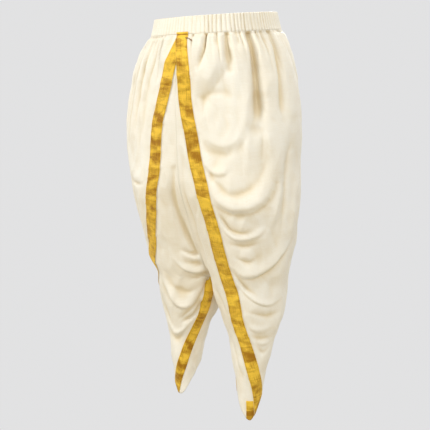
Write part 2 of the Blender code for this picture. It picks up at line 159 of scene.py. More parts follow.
world = bpy.data.worlds.new("studio")
scene.world = world
world.use_nodes = True
light_with(world.node_tree, world.node_tree.nodes["Background"].inputs["Color"],
           tuple(AMBIENT * part for part in SEEN_GREY))

floor_bm = bmesh.new()
bmesh.ops.create_circle(floor_bm, cap_ends=True, radius=FLOOR_RADIUS, segments=FLOOR_SIDES)
bmesh.ops.translate(floor_bm, verts=floor_bm.verts, vec=(0.0, 0.0, FLOOR_HEIGHT))
floor_mesh = baked(floor_bm, "floor")
floor_paint, floor_shader = new_paint("floor_paint", {
    "Base Color": (0.0, 0.0, 0.0, 1.0), "Roughness": 1.0, "Specular IOR Level": 0.0,
    "Emission Strength": 1.0})
light_with(floor_paint.node_tree, floor_shader.inputs["Emission Color"], FLOOR_GLOW)
floor_mesh.materials.append(floor_paint)
add_object("floor", floor_mesh)
print("floor at", FLOOR_HEIGHT)

# %% [markdown]
# ## The pattern the cloth hangs on
#
# A worn dhoti keeps a hollow form: round at the hips, then two tapering legs. We describe
# one half at a time with ovals. At every height the table gives the oval's centre and half
# sizes. An angle then walks round it: 0 at the front, 90 at the outer side, 180 at the
# back, and below 0 towards the inner leg. Above the crotch only the part beyond the
# garment's middle plane is cloth, because the other half takes over there.
#
# A free-form sculpt could do this too. A table keeps the drape on the fixed frame and lets
# every fold be placed by a plain angle and height. The tables are in millimetres, which are
# easy to measure and to read, and the rest of the notebook works in metres.

# %% Sizes of the pattern
BAND_HEIGHT = 0.042
SEAM_GAP = 0.0003
CROTCH = -0.626
UNCUT_HEM = -0.900
HEM_START = -0.700

Section = namedtuple(
    "Section", "height middle_out middle_back left_out right_out front_depth back_depth")
SECTIONS = [Section(*(part / 1000 for part in row)) for row in (
    (21, 0, 0, 160, 160, 128, 128),
    (-21, 0, 0, 172, 172, 135, 138),
    (-60, 0, 0, 194, 200, 143, 148),
    (-120, 3, 0, 211, 229, 144, 158),
    (-200, 10, 0, 219, 250, 144, 164),
    (-280, 26, 2, 202, 247, 143, 164),
    (-340, 48, 4, 176, 217, 143, 158),
    (-400, 74, 6, 149, 171, 142, 148),
    (-468, 88, 12, 128, 142, 130, 132),
    (-547, 90, 20, 111, 126, 115, 115),
    (-595, 91, 24, 99, 119, 106, 103),
    (-626, 92, 26, 92, 92, 98, 98),
    (-660, 95, 26, 88, 88, 92, 92),
    (-710, 100, 24, 77, 77, 79, 79),
    (-770, 106, 19, 57, 58, 58, 58),
    (-850, 106, 11, 40, 41, 41, 41),
    (-920, 106, 8, 30, 31, 31, 31),
    (-980, 106, 6, 24, 24, 24, 24),
)]
print("heights in the table:", len(SECTIONS))


# %% Reading a table smoothly
def smooth_step(t, low, high, low_slope, high_slope, span=1.0):
    """A smooth curve between two values that leaves each with its own slope."""
    start = (2 * t**3 - 3 * t**2 + 1) * low + (t**3 - 2 * t**2 + t) * span * low_slope
    end = (3 * t**2 - 2 * t**3) * high + (t**3 - t**2) * span * high_slope
    return start + end


def smooth_read(table, column, height):
    """Value of a named column at a height, on a smooth curve through the table's rows."""
    down = np.array([-row.height for row in table])
    value = np.array([getattr(row, column) for row in table])
    slope = np.gradient(value, down)
    at = np.clip(-np.asarray(height, float), down[0], down[-1])
    row = np.clip(np.searchsorted(down, at) - 1, 0, len(down) - 2)
    span = down[row + 1] - down[row]
    return smooth_step((at - down[row]) / span, value[row], value[row + 1], slope[row],
                       slope[row + 1], span)


def section(column, height):
    """One measure of the ovals at a height."""
    return smooth_read(SECTIONS, column, height)


def ease(value, start, end):
    """0 at the start, 1 at the end, and smooth between."""
    t = np.clip((value - start) / (end - start), 0.0, 1.0)
    return t * t * (3.0 - 2.0 * t)


print("oval at the hips, left half:", section("left_out", -0.2), "m out")

# %% [markdown]
# ## Edges, hems and folds
#
# The outer panel's free edge runs from the waist to the ankle, so it is a short table of
# distances down and angles. The hem is cut to a point.
#
# A fold is a path across the cloth with a width and a depth. A positive depth is a ridge
# and a negative one a crease. `under` is the width of its lower flank against its upper
# one: a cowl fold hangs over, so its underside is steep. `start` and `end` say how strong
# the fold is at the two ends of its path, and `widen` how much wider it is at the far end,
# which makes a crease a wedge. Folds that lean on each other simply add up, which gives the
# uneven hollows between them for nothing.
#
# A row of the fold tables holds these in turn: the path as degrees round and millimetres
# down, the width and depth in millimetres, then `under`, `start`, `end` and `widen`, which
# are left out at the end of a row where they have their usual values.

# %% What the tables hold
EdgePoint = namedtuple("EdgePoint", "height angle")
Hem = namedtuple("Hem", "tip_angle tip_height round_height sharpness inner_sharpness")
Fold = namedtuple("Fold", "path width depth under start end widen")
Half = namedtuple("Half", "name sign overlay_edge lower_edge hem folds")


def new_edge(*rows):
    """A free edge from millimetres down and degrees round."""
    return [EdgePoint(-down / 1000, angle) for down, angle in rows]


def new_fold(path, width, depth, under=1.0, start=1.0, end=0.1, widen=1.0):
    """A fold from one row of a table."""
    path = [(angle, -down / 1000) for angle, down in path]
    return Fold(path, width / 1000, depth / 1000, under, start, end, widen)


print("a fold has:", ", ".join(Fold._fields))

# %% Folds of the left half
LEFT_FOLDS = (
    # creases that start in the waistband seam, the longest with a deep end
    (((15, 24), (16, 58)), 4, -4),
    (((26, 24), (24, 55), (21, 81), (17, 115)), 4, -11, 1, 1, 0.1, 2.2),
    (((33, 24), (33, 54)), 4, -6),
    (((42, 24), (41, 65), (41, 103)), 3, -14, 1, 1, 0.4, 3.6),
    (((51, 24), (51, 56)), 4, -6),
    (((62, 24), (60, 88), (58, 153), (57, 205), (56, 236)), 5, -20, 1, 1, 0.3, 3.4),
    (((59, 150), (58, 215)), 13, -9, 1, 0.3, 0.2),
    (((76, 24), (76, 58)), 5, -7),
    (((84, 24), (84, 79), (82, 133), (80, 189), (80, 215)), 6, -14, 1, 1, 0.15, 2.2),
    (((101, 24), (108, 83), (114, 125), (116, 160)), 6, -10, 1, 1, 0.2, 1.6),
    # what stands between them
    (((71, 50), (71, 120), (72, 180)), 17, 6, 1, 0.4, 0.5),
    (((93, 40), (97, 100), (100, 160)), 10, 5, 1, 0.5, 0.4),
    (((66, 213), (73, 226)), 10, -2, 1, 0.6, 0.4),
    # the diagonal ridge, the hollow under it and the small ring
    (((38, 55), (28, 112), (15, 168)), 20, 10, 0.4, 0.8, 0.5),
    (((19, 172), (25, 159), (33, 158), (41, 166)), 16, -4.5, 0.6, 0.8, 0.3),
    (((19, 174), (18, 214)), 9, -4, 1, 0.8, 0.2),
    (((26, 183), (22, 203), (25, 232)), 10, 3, 1, 0.4, 0.4),
    (((12, 255), (22, 271), (31, 277), (40, 263), (46, 229), (50, 187),
     (52, 148)), 12, 5.5, 0.55, 0.7, 0.3),
    (((11, 286), (22, 297), (33, 299), (43, 284)), 9, -4, 1, 0.8, 0.2),
    (((13, 305), (16, 333), (21, 341), (29, 333), (34, 311)), 9, 7, 0.5, 0.6, 0.2),
    # thin upright wrinkles above the great cowl
    (((49, 230), (48, 315)), 6, 4, 1, 0.5, 0.3),
    (((60, 240), (59, 325)), 8, -4, 1, 0.4, 0.3),
    (((66, 235), (67, 305)), 7, 5, 1, 0.5, 0.3),
    # the great cowl and those under it
    (((15, 352), (25, 385), (35, 391), (51, 371), (61, 330), (64, 280)), 13, -7, 1, 0.8, 0.3),
    (((10, 378), (17, 405), (27, 417), (38, 419), (52, 407), (63, 375), (71, 329), (73, 277),
     (72, 237)), 18, 15, 0.5, 0.8, 0.35),
    (((8, 422), (14, 453), (22, 477), (34, 485), (47, 478)), 7, -12),
    (((9, 447), (21, 489), (37, 498), (54, 482), (62, 452)), 6, 8, 0.5, 0.7),
    (((21, 513), (37, 517), (54, 506)), 7, -6, 0.7, 0.4, 0.2),
    (((26, 548), (39, 557), (50, 545)), 6, -6, 0.7, 0.4, 0.2),
    (((17, 577), (38, 588), (56, 578), (73, 556), (89, 529), (99, 503)), 13, 14, 0.4, 0.6, 0.3),
    (((11, 563), (23, 601), (34, 627), (53, 648)), 7, -12),
    (((16, 591), (32, 633), (50, 657), (73, 667), (96, 655)), 6, 9, 0.45, 0.8, 0.2),
    # lengths that fall from the side of the hip
    (((80, 280), (77, 375), (71, 429), (65, 470), (58, 510)), 6, 7, 1, 0.4, 0.2),
    (((87, 290), (84, 400), (79, 500)), 13, -7, 1, 0.4, 0.3),
    (((106, 310), (99, 427), (96, 521)), 8, 6, 1, 0.3, 0.3),
    # short wrinkles down the calf
    (((38, 688), (67, 699), (92, 694)), 8, -6, 0.7, 0.4, 0.2),
    (((26, 719), (50, 735), (87, 727)), 6, 7, 0.45, 0.5, 0.3),
    (((28, 745), (50, 757), (86, 756)), 6, -5, 1, 0.5, 0.3),
    (((46, 765), (69, 772), (86, 765)), 5, 6, 0.45, 0.4, 0.3),
    (((49, 778), (68, 795), (89, 784)), 6, -5, 1, 0.4, 0.2),
    # down the back
    (((128, 24), (126, 110), (124, 205)), 6, -11, 1, 1, 0.3, 1.9),
    (((139, 24), (139, 60)), 4, -6),
    (((148, 24), (146, 80), (149, 150)), 5, -10, 1, 1, 0.2, 1.8),
    (((158, 24), (157, 70)), 4, -6),
    (((167, 24), (169, 100), (166, 190)), 5, -11, 1, 1, 0.2, 1.8),
    (((136, 60), (146, 130), (160, 170)), 11, 9, 0.5, 0.3, 0.6),
    (((132, 262), (148, 308), (162, 312), (176, 280), (182, 230)), 12, 12, 0.45, 0.1, 0.4),
    (((134, 290), (150, 334), (166, 336), (180, 305)), 8, -8, 1, 0.2, 0.3),
    (((126, 350), (140, 425), (160, 452), (182, 436), (200, 390)), 14, 15, 0.4, 0.1, 0.4),
    (((130, 395), (146, 466), (166, 484), (190, 455)), 8, -10, 1, 0.2, 0.3),
    (((132, 440), (150, 505), (172, 514), (196, 486)), 7, 7, 0.5, 0.1, 0.3),
    (((124, 500), (144, 572), (172, 592), (198, 575), (222, 520)), 13, 14, 0.4, 0.1, 0.4),
    (((130, 545), (152, 615), (178, 626), (212, 590)), 8, -10, 1, 0.2, 0.3),
    (((130, 590), (156, 655), (186, 662), (222, 625)), 7, 7, 0.5, 0.1, 0.3),
    (((128, 660), (160, 716), (196, 718), (236, 685)), 10, 9, 0.45, 0.1, 0.3),
    (((130, 705), (160, 748), (200, 748)), 7, -6, 1, 0.1, 0.2),
    # on the inner panel
    (((-22, 300), (-28, 420), (-46, 540)), 8, -4, 1, 0.2, 0.2),
    (((-30, 640), (-14, 680), (-4, 740)), 7, -3, 1, 0.2),
    (((-24, 760), (-8, 830), (16, 880)), 6, -3, 1, 0.2),
)
print("folds on the left:", len(LEFT_FOLDS))

# %% Folds of the right half
RIGHT_FOLDS = (
    # long soft lengths down the full right hip
    (((20, 24), (19, 67), (22, 115), (25, 180)), 5, -6, 1, 1, 0.2, 1.5),
    (((26, 40), (25, 127), (28, 205), (27, 320)), 7, 5, 1, 0.4, 0.2),
    (((29, 24), (31, 70), (33, 140), (33, 280)), 5, -6, 1, 1, 0.2, 1.6),
    (((37, 40), (38, 180), (37, 350)), 8, 5, 1, 0.4, 0.2),
    (((38, 24), (42, 100), (44, 220), (43, 330)), 5, -6, 1, 1, 0.2, 1.6),
    (((46, 24), (50, 120), (51, 260)), 5, -7, 1, 1, 0.1, 1.8),
    (((54, 40), (59, 160), (59, 320)), 10, 6, 1, 0.4),
    (((62, 24), (66, 90), (67, 170)), 5, -10, 1, 1, 0.1, 1.8),
    (((71, 24), (72, 70)), 4, -7),
    (((80, 24), (84, 110), (84, 210)), 6, -12, 1, 1, 0.3, 1.9),
    (((93, 24), (95, 80)), 5, -8),
    # a pinch beside the tape
    (((39, 387), (29, 392), (17, 388)), 5, -6, 0.6, 0.3, 0.3),
    # down the side and the back
    (((106, 24), (112, 100), (114, 190)), 6, -11, 1, 1, 0.2, 1.8),
    (((121, 24), (122, 72)), 5, -7),
    (((134, 24), (136, 120), (133, 225)), 6, -13, 1, 1, 0.3, 1.8),
    (((146, 24), (147, 66)), 4, -6),
    (((158, 24), (160, 100), (158, 170)), 5, -10, 1, 1, 0.2, 1.8),
    (((170, 24), (171, 80)), 4, -7),
    (((122, 80), (112, 140), (98, 190)), 11, 9, 0.5, 0.3, 0.6),
    (((58, 352), (74, 420), (92, 440), (110, 418), (124, 350)), 13, 14, 0.4, 0.1, 0.3),
    (((58, 390), (76, 455), (96, 470), (116, 440)), 8, -10, 1, 0.2, 0.3),
    (((60, 435), (80, 492), (100, 498), (120, 468)), 7, 7, 0.5, 0.1, 0.3),
    (((56, 500), (76, 560), (98, 574), (120, 552), (134, 500)), 12, 13, 0.4, 0.1, 0.3),
    (((58, 540), (80, 600), (104, 606), (130, 570)), 8, -10, 1, 0.2, 0.3),
    (((66, 600), (92, 655), (120, 655), (146, 620)), 10, 10, 0.45, 0.2, 0.3),
    (((72, 680), (98, 720), (124, 716), (150, 690)), 8, 7, 0.45, 0.2, 0.3),
    (((134, 262), (148, 318), (164, 326), (178, 296), (184, 250)), 12, 12, 0.45, 0.1, 0.4),
    (((134, 300), (150, 350), (168, 352), (184, 320)), 8, -8, 1, 0.2, 0.3),
    (((132, 380), (150, 452), (168, 474), (188, 458), (204, 410)), 14, 15, 0.4, 0.1, 0.4),
    (((136, 420), (154, 492), (174, 506), (198, 470)), 8, -10, 1, 0.2, 0.3),
    (((136, 540), (156, 602), (184, 612), (210, 590), (226, 550)), 12, 12, 0.4, 0.1, 0.4),
    (((140, 575), (160, 636), (188, 644), (220, 612)), 8, -8, 1, 0.2, 0.3),
    (((140, 690), (168, 740), (200, 742), (236, 712)), 9, 8, 0.45, 0.1, 0.3),
    # soft lengths beside the centre-front seam
    (((-4, 280), (-16, 367), (-27, 457), (-31, 525)), 8, 5, 1, 0.3, 0.3),
    (((-10, 340), (-25, 455), (-36, 523), (-44, 552)), 9, -13, 1, 0.3, 0.9, 1.6),
    (((3, 250), (2, 380), (-6, 480), (-14, 545)), 12, 5, 1, 0.2, 0.2),
    # cowls that sweep up to the crotch
    (((-26, 553), (-40, 562), (-54, 552)), 6, -8, 0.6, 0.5, 0.8),
    (((-30, 569), (-45, 575), (-58, 560)), 5, 7, 0.5, 0.4, 0.5),
    (((-28, 583), (-46, 588), (-60, 572)), 7, -8, 0.8, 0.4, 0.9),
    (((-12, 575), (-24, 598), (-40, 609), (-54, 602), (-64, 580)), 6, 9, 0.45, 0.3, 0.5),
    (((-40, 628), (-56, 618), (-68, 594)), 6, -10, 1, 0.3, 0.9),
    (((-2, 652), (-30, 668), (-54, 652)), 13, -7, 1, 0.4, 0.5),
    (((22, 618), (5, 665), (-18, 703), (-42, 700), (-60, 664)), 9, 11, 0.4, 0.4, 0.4),
    (((-24, 738), (-46, 706), (-60, 663), (-67, 632)), 6, -10, 1, 0.5, 0.9),
    (((-28, 748), (-42, 739), (-52, 724), (-60, 700)), 5, -11, 1, 0.5, 0.9),
    (((26, 742), (12, 770), (-4, 786), (-20, 780), (-36, 763), (-53, 733)), 5, 8, 0.6, 0.5, 0.4),
    (((12, 796), (-8, 805), (-30, 786)), 6, -5, 1, 0.5, 0.3),
    (((34, 690), (20, 735), (6, 765)), 6, -5, 1, 0.4, 0.4),
)
print("folds on the right:", len(RIGHT_FOLDS))

# %% The two halves
LEFT = Half(
    name="left",
    sign=1,
    overlay_edge=new_edge(
        (0, -1.5), (90, 2), (165, 1.2), (260, 2), (350, -1.5), (410, -5.5), (505, -7.5),
        (583, -5), (650, 0), (733, 1), (783, 7), (847, 28), (897, 49), (951, 66), (980, 72)),
    lower_edge=new_edge((626, -90), (720, -92), (780, -95), (840, -95), (885, -98),
                        (915, -103), (940, -107), (970, -110)),
    hem=Hem(tip_angle=46.0, tip_height=-0.977, round_height=-0.878, sharpness=6.5,
            inner_sharpness=2.6),
    folds=[new_fold(*row) for row in LEFT_FOLDS],
)
RIGHT = Half(
    name="right",
    sign=-1,
    overlay_edge=new_edge(
        (0, -12), (30, -10.5), (61, -6), (89, -1.5), (139, 1.3), (185, 3.8), (227, 5.8),
        (271, 5.6), (321, 3), (373, -0.5), (463, 0), (511, 6), (579, 17), (633, 36),
        (700, 66), (800, 92), (900, 106), (980, 112)),
    lower_edge=new_edge((626, -90), (645, -82), (680, -79), (720, -80), (775, -75),
                        (827, -60), (885, -39), (927, -16), (957, 0)),
    hem=Hem(tip_angle=-7.0, tip_height=-0.958, round_height=-0.865, sharpness=4.0,
            inner_sharpness=4.0),
    folds=[new_fold(*row) for row in RIGHT_FOLDS],
)
print("halves:", LEFT.name, "and", RIGHT.name)

# %% [markdown]
# ## From angle and height to a place in the room
#
# These helpers read the oval, find the seams and edges, and walk across the cloth by real
# distances. They work on whole grids at once.

# %% Reading the oval
WAIST_RISE_LEFT = 0.045
WAIST_RISE_BACK = 0.035
WAIST_DROP = 0.002
TIP_FADE = 0.250


def tipped(out, back, height, sign):
    """Height after the waist is tipped: it rises to the wearer's left and to the back."""
    tip = WAIST_RISE_LEFT * sign * out + WAIST_RISE_BACK * back - WAIST_DROP
    return height + tip * np.clip(1.0 + height / TIP_FADE, 0.0, 1.0)


def half_width(half, height):
    """Half width of the oval, on the half's own side."""
    return section(half.name + "_out", height)


def half_depth(turn, height):
    """Half depth of the oval on the side that a direction looks to."""
    return np.where(np.cos(turn) > 0.0, section("front_depth", height),
                    section("back_depth", height))


def oval(half, angle, height):
    """Point of the plain oval and its outward direction, on the half's own side."""
    turn = np.radians(angle)
    wide, deep = half_width(half, height), half_depth(turn, height)
    out = section("middle_out", height) + wide * np.sin(turn)
    rear = section("middle_back", height) - deep * np.cos(turn)
    size = np.hypot(np.sin(turn) / wide, np.cos(turn) / deep)
    return out, rear, np.sin(turn) / wide / size, -np.cos(turn) / deep / size


print("half depth of the hips in front:", half_depth(0.0, -0.2))

# %% Seams and edges
LEAN_PROBE = 0.010
MOST_LEAN = 1.15
TRAVEL_STEPS = 6


def arc_rate(half, angle, height):
    """Metres travelled round the oval for each degree."""
    turn = np.radians(angle)
    return np.radians(np.hypot(half_width(half, height) * np.cos(turn),
                               section("front_depth", height) * np.sin(turn)))


def seam_angle(half, height):
    """Angle where the oval meets the middle plane in front; -90 at the crotch."""
    share = section("middle_out", height) / half_width(half, height)
    return -np.degrees(np.arcsin(np.clip(share, -1.0, 1.0)))


def inner_line(half, height):
    """Where the inner panel starts: the centre-front seam, then its free lower edge."""
    return np.where(height > CROTCH, seam_angle(half, height),
                    smooth_read(half.lower_edge, "angle", height))


def back_line(half, height):
    """Where the outer panel ends: the centre-back seam, then the seam on the inner leg."""
    return np.where(height > CROTCH, 180.0 - seam_angle(half, height),
                    360.0 + inner_line(half, height))


def overlay_line(half, height):
    """Where the outer panel starts: its free edge in front."""
    return smooth_read(half.overlay_edge, "angle", height)


def travel(half, angle, height, distance, line):
    """Angle after going a distance square across from an edge line, round the cloth."""
    drift = (line(half, height + LEAN_PROBE) - line(half, height - LEAN_PROBE)) / (2 * LEAN_PROBE)
    lean = np.minimum(np.hypot(1.0, drift * arc_rate(half, angle, height)), MOST_LEAN)
    for _ in range(TRAVEL_STEPS):
        angle = angle + distance * lean / TRAVEL_STEPS / arc_rate(half, angle, height)
    return angle


print("left front edge at the knee:", overlay_line(LEFT, -0.5), "degrees")

# %% [markdown]
# ## Folds as soft ridges and creases
#
# A fold's few points are joined by a smooth path. Every grid point then finds its nearest
# place on the path, and is lifted or sunk by a curve across it: a round one for a ridge,
# and one with a sharp bottom for a crease. Gathers under the waistband are a row of valleys
# round the waist instead, because there are too many to place. Each has its own depth and
# length, read from a fixed row of numbers, and waves shift the valleys along the waist, so
# that no two are alike. Last come faint wrinkles from smooth noise.

# %% The way along a fold
PATH_SAMPLES = 20


def smooth_path(path):
    """Many points on a smooth curve through a few."""
    points = np.array(path, float)
    place = np.linspace(0.0, len(points) - 1.0, PATH_SAMPLES)
    slope = np.gradient(points, axis=0)
    row = np.minimum(place.astype(int), len(points) - 2)
    return smooth_step((place - row)[:, None], points[row], points[row + 1], slope[row],
                       slope[row + 1])


def nearest_place(line, rate, angle, height):
    """Distance to a path, the share of it gone there, and the height above it."""
    nearest = np.full(angle.shape, np.inf)
    along, above = np.zeros_like(angle), np.ones_like(angle)
    for i in range(len(line) - 1):
        step_x, step_y = (line[i + 1, 0] - line[i, 0]) * rate[i], line[i + 1, 1] - line[i, 1]
        x, y = (angle - line[i, 0]) * rate[i], height - line[i, 1]
        share = np.clip((x * step_x + y * step_y) / (step_x**2 + step_y**2), 0.0, 1.0)
        away_y = y - share * step_y
        away = np.hypot(x - share * step_x, away_y)
        closer = away < nearest
        nearest = np.where(closer, away, nearest)
        along = np.where(closer, (i + share) / (len(line) - 1), along)
        above = np.where(closer, away_y, above)
    return nearest, along, above


print("points along each fold:", PATH_SAMPLES)

# %% The height of a fold
FOLD_REACH = 3.2
RIDGE_ROUND = 1.9
RIDGE_WIDER = 1.40
RIDGE_SHARE = 0.64
RIDGE_ENDS = 0.35
CREASE_SHARP = 1.2
WEDGE_SHARP = 2.4
WEDGE_WIDENS = 1.5
UNDER_SIDE = (-0.4, 0.8)
UNDERCUT = 0.34
UNDERCUT_SHARP = 2.0
UNDERCUT_PLACE = 1.7
START_UNTIL = 0.35
END_FROM = 0.55
TINY = 1e-6


def fading(distance, length, power=2):
    """1 at no distance, and less and less beyond a length."""
    return np.exp(-(distance / length)**power)


def fold_lift(half, fold, angle, height):
    """Height of one fold over every point of a grid."""
    line = smooth_path(fold.path)
    rate = arc_rate(half, line[:, 0], line[:, 1])
    reach = FOLD_REACH * fold.width * max(fold.widen, 1.0)
    near = ((height < line[:, 1].max() + reach) & (height > line[:, 1].min() - reach)
            & (angle < line[:, 0].max() + reach / rate.min())
            & (angle > line[:, 0].min() - reach / rate.min()))
    lift = np.zeros_like(angle)
    if not near.any():
        return lift
    nearest, along, above = nearest_place(line, rate, angle[near], height[near])
    under = ease(-above / np.maximum(nearest, TINY), *UNDER_SIDE)
    width = fold.width * (1.0 + (fold.widen - 1.0) * along) * (1.0 + (fold.under - 1.0) * under)
    ends = RIDGE_ENDS if fold.depth > 0.0 else 1.0
    start, end = fold.start * ends, fold.end * ends
    strength = (start + (1 - start) * ease(along, 0.0, START_UNTIL)) * (
        end + (1 - end) * (1 - ease(along, END_FROM, 1.0)))
    if fold.depth > 0.0:
        away = nearest / width / RIDGE_WIDER
        undercut = under * np.exp(-UNDERCUT_SHARP * np.abs(away - UNDERCUT_PLACE))
        shape = RIDGE_SHARE * fading(away, 1.0, RIDGE_ROUND)
        shape = shape - UNDERCUT * (1.0 - fold.under) * undercut
    else:
        sharp = WEDGE_SHARP if fold.widen > WEDGE_WIDENS else CREASE_SHARP
        shape = fading(nearest, width, sharp)
    lift[near] = fold.depth * strength * shape
    return lift


print("a ridge rises to", RIDGE_SHARE, "of its depth")

# %% Uneven rows of valleys
UNEVEN = np.array((0.9, 0.4, 0.7, 1.2, 0.5, 0.8, 0.3, 1.0, 0.6, 1.3, 0.45, 0.75, 1.1, 0.35, 0.85))


def uneven(number, step=1, start=0):
    """A strength for each numbered valley, read round and round from the fixed row."""
    return UNEVEN[(number * step + start) % len(UNEVEN)]


def waves(place, *rows):
    """A sum of waves, each with its size, how often it comes and where it starts."""
    return sum(size * np.sin(often * place + start) for size, often, start in rows)


def valleys(phase):
    """Number of the valley that each place lies in."""
    return np.round(phase / (2 * np.pi)).astype(int)


def notches(phase, sharp):
    """1 at each whole turn of the phase and 0 half way, with a sharp bottom and round top."""
    return 1.0 - np.abs(np.sin(phase / 2)) ** sharp


print("strengths in the fixed row:", len(UNEVEN))

# %% Gathers under the band
GATHERS = 74
GATHER_BULGE = 0.0055
GATHER_DEPTH = 0.0100
GATHER_LENGTH = 0.038
GATHER_LEAST = 0.5
GATHER_FADE = 1.8
GATHER_LEAN = 6.0
GATHER_TAIL = {"left": 0.0006, "right": 0.0016}
TAIL_LENGTH = 0.150
GATHER_FRONT = (7.0, 13.0)
NOTCH_SHARP = 0.72
BULGE_RISE = (-0.001, 0.010)
BULGE_LENGTH = 0.110
PUCKERS = 122
PUCKER_DEPTH = 0.0028
PUCKER_LENGTH = 0.018


def gather_lift(half, angle, height):
    """Uneven narrow valleys that run down from the band, with round crests between."""
    turn = np.radians(angle)
    below = np.maximum(-BAND_HEIGHT / 2 - height, 0.0)
    phase = GATHERS * turn + waves(turn, (1.1, 3, 1.0 + half.sign), (0.8, 7, 2.0),
                                   (GATHER_LEAN * below, 4, half.sign))
    valley = valleys(phase)
    length = GATHER_LENGTH * (GATHER_LEAST + uneven(valley, 7, 3))
    depth = (GATHER_DEPTH * fading(below, length, GATHER_FADE)
             + GATHER_TAIL[half.name] * fading(below, TAIL_LENGTH))
    bulge = GATHER_BULGE * ease(below, *BULGE_RISE) * fading(below, BULGE_LENGTH)
    pucker = PUCKER_DEPTH * fading(below, PUCKER_LENGTH) * notches(
        PUCKERS * turn + waves(turn, (2.4, 11, 0.0)), NOTCH_SHARP)
    lift = bulge - depth * uneven(valley) * notches(phase, NOTCH_SHARP) - pucker
    return lift * ease(angle, *GATHER_FRONT)


print("gathers in each half:", GATHERS // 2)

# %% Faint wrinkles
Wrinkle = namedtuple("Wrinkle", "scale longer depth sharp shift")
WRINKLES = (
    Wrinkle(9.0, 0.8, 0.0032, False, 0.0),
    Wrinkle(17.0, 0.55, 0.0050, True, 3.0),
    Wrinkle(27.0, 0.50, -0.0040, True, 7.0),
    Wrinkle(60.0, 0.60, 0.0008, True, 11.0),
)


def wrinkle_lift(points):
    """Faint wrinkles, so that no stretch of cloth is perfectly smooth."""
    lift = np.zeros(points[..., 0].size)
    for wrinkle in WRINKLES:
        stretch = wrinkle.scale * np.array((1.0, 1.0, wrinkle.longer))
        for i, place in enumerate(points.reshape(-1, 3) * stretch):
            value = noise.noise(Vector((place[0] + wrinkle.shift, place[1], place[2])))
            lift[i] += wrinkle.depth * (abs(value) if wrinkle.sharp else value)
    return lift.reshape(points.shape[:-1])


print("sizes of wrinkle:", len(WRINKLES))

# %% [markdown]
# ## The draped surface
#
# The folds may not disturb the seams, where two panels are sewn together, nor the flat run
# under a tape, so they fade out there. A ridge of soft cloth also sinks a little under its
# own weight. Moving it down as well as out gives the heavy undersides of cowl folds.

# %% The run of the front tapes
FRONT_TAPE = 0.038
FRONT_TAPE_AT_WAIST = 0.033
FRONT_TAPE_AT_ANKLE = 0.030
TAPE_WIDENS = (0.030, 0.150)
TAPE_NARROWS = (0.500, 0.850)
TAPE_RIPPLE = 0.0004
PRESSED = {
    "left": (-0.113, -0.121, -0.238, -0.335, -0.402, -0.482, -0.556, -0.634, -0.690, -0.716,
             -0.742, -0.770, -0.862),
    "right": (-0.130, -0.196, -0.232, -0.298, -0.340, -0.378, -0.412, -0.446, -0.520, -0.600),
}
PRESS_DEPTH = 0.0013
PRESS_REACH = 0.016
PRESS_EDGE = 0.0028
PRESS_SLANT = 0.0007


def front_tape_width(height):
    """Width of a front tape: it is turned under a little at both ends."""
    widen, narrow = ease(-height, *TAPE_WIDENS), ease(-height, *TAPE_NARROWS)
    full = FRONT_TAPE_AT_WAIST + (FRONT_TAPE - FRONT_TAPE_AT_WAIST) * widen
    return full + (FRONT_TAPE_AT_ANKLE - full) * narrow


def tape_ripple(half, angle, height):
    """Sharp pressed steps across a tape, and small waves between them."""
    across = angle - overlay_line(half, height)
    lift = TAPE_RIPPLE * waves(height, (1.0, 61.0, 2.0 * half.sign), (0.5, 143.0, 1.0))
    for i, step in enumerate(PRESSED[half.name]):
        past = height - step + (-1)**i * PRESS_SLANT * across
        lift = lift + PRESS_DEPTH * np.where(past > 0.0, fading(past, PRESS_REACH, 1),
                                             fading(past, PRESS_EDGE))
    return lift


print("pressed steps:", {name: len(steps) for name, steps in PRESSED.items()})

# %% Everything above the oval
SEAM_FLAT = 0.016
TAPE_FADE = 0.020
BAND_FADE = (-0.000875, 0.007)
BAND_SHARE = 0.16


def relief(half, angle, height, points):
    """Height of everything above the plain oval."""
    total = gather_lift(half, angle, height) + wrinkle_lift(points)
    for row in half.folds:
        total = total + fold_lift(half, row, angle, height)
    rate = arc_rate(half, angle, height)
    to_front = (angle - inner_line(half, height)) * rate
    to_back = (back_line(half, height) - angle) * rate
    total = total * ease(np.minimum(to_front, to_back), 0.0, SEAM_FLAT)
    past = (angle - overlay_line(half, height)) * rate
    taped = front_tape_width(height)
    free = np.maximum(ease(past, taped, taped + TAPE_FADE), ease(-past, 0.0, TAPE_FADE))
    free = free * (BAND_SHARE + (1.0 - BAND_SHARE) * ease(-BAND_HEIGHT / 2 - height, *BAND_FADE))
    return total * free + tape_ripple(half, angle, height) * (1.0 - free)


print("the band holds folds down to", BAND_SHARE, "of their height")

# %% Rounding the middle seams
SEAM_ROUND = 0.018
SEAM_BLEND = 0.035
ROUND_FROM = (0.010, 0.150)


def softened_rear(half, out, rear, angle, height):
    """Front and back places with the groove between the two halves rounded out."""
    turn = np.radians(angle)
    radius = SEAM_ROUND * ease(height - CROTCH, *ROUND_FROM)
    middle = section("middle_out", height)
    own = half_width(half, height)
    shared = (half_width(LEFT, height) + half_width(RIGHT, height)) / 2
    wide = own + (shared - own) * (1.0 - ease(out, 0.0, SEAM_BLEND))
    cosine = np.sqrt(np.maximum(1.0 - ((np.hypot(out, radius) - middle) / wide)**2, 0.0))
    deep = half_depth(turn, height) * cosine
    soft = section("middle_back", height) - np.sign(np.cos(turn)) * deep
    return np.where((out < middle) & (height > CROTCH), soft, rear)


print("the groove between the halves is rounded by", SEAM_ROUND, "m")

# %% Draping
DROOP = 0.45
HANGS_FREE = (0.120, 0.200)
SPREAD = 26
HOLLOW_DEPTH = 0.0042
HOLLOW_TILT = 0.45
SUNK_SHARE = 0.75
UNDER_SHARE = 0.45


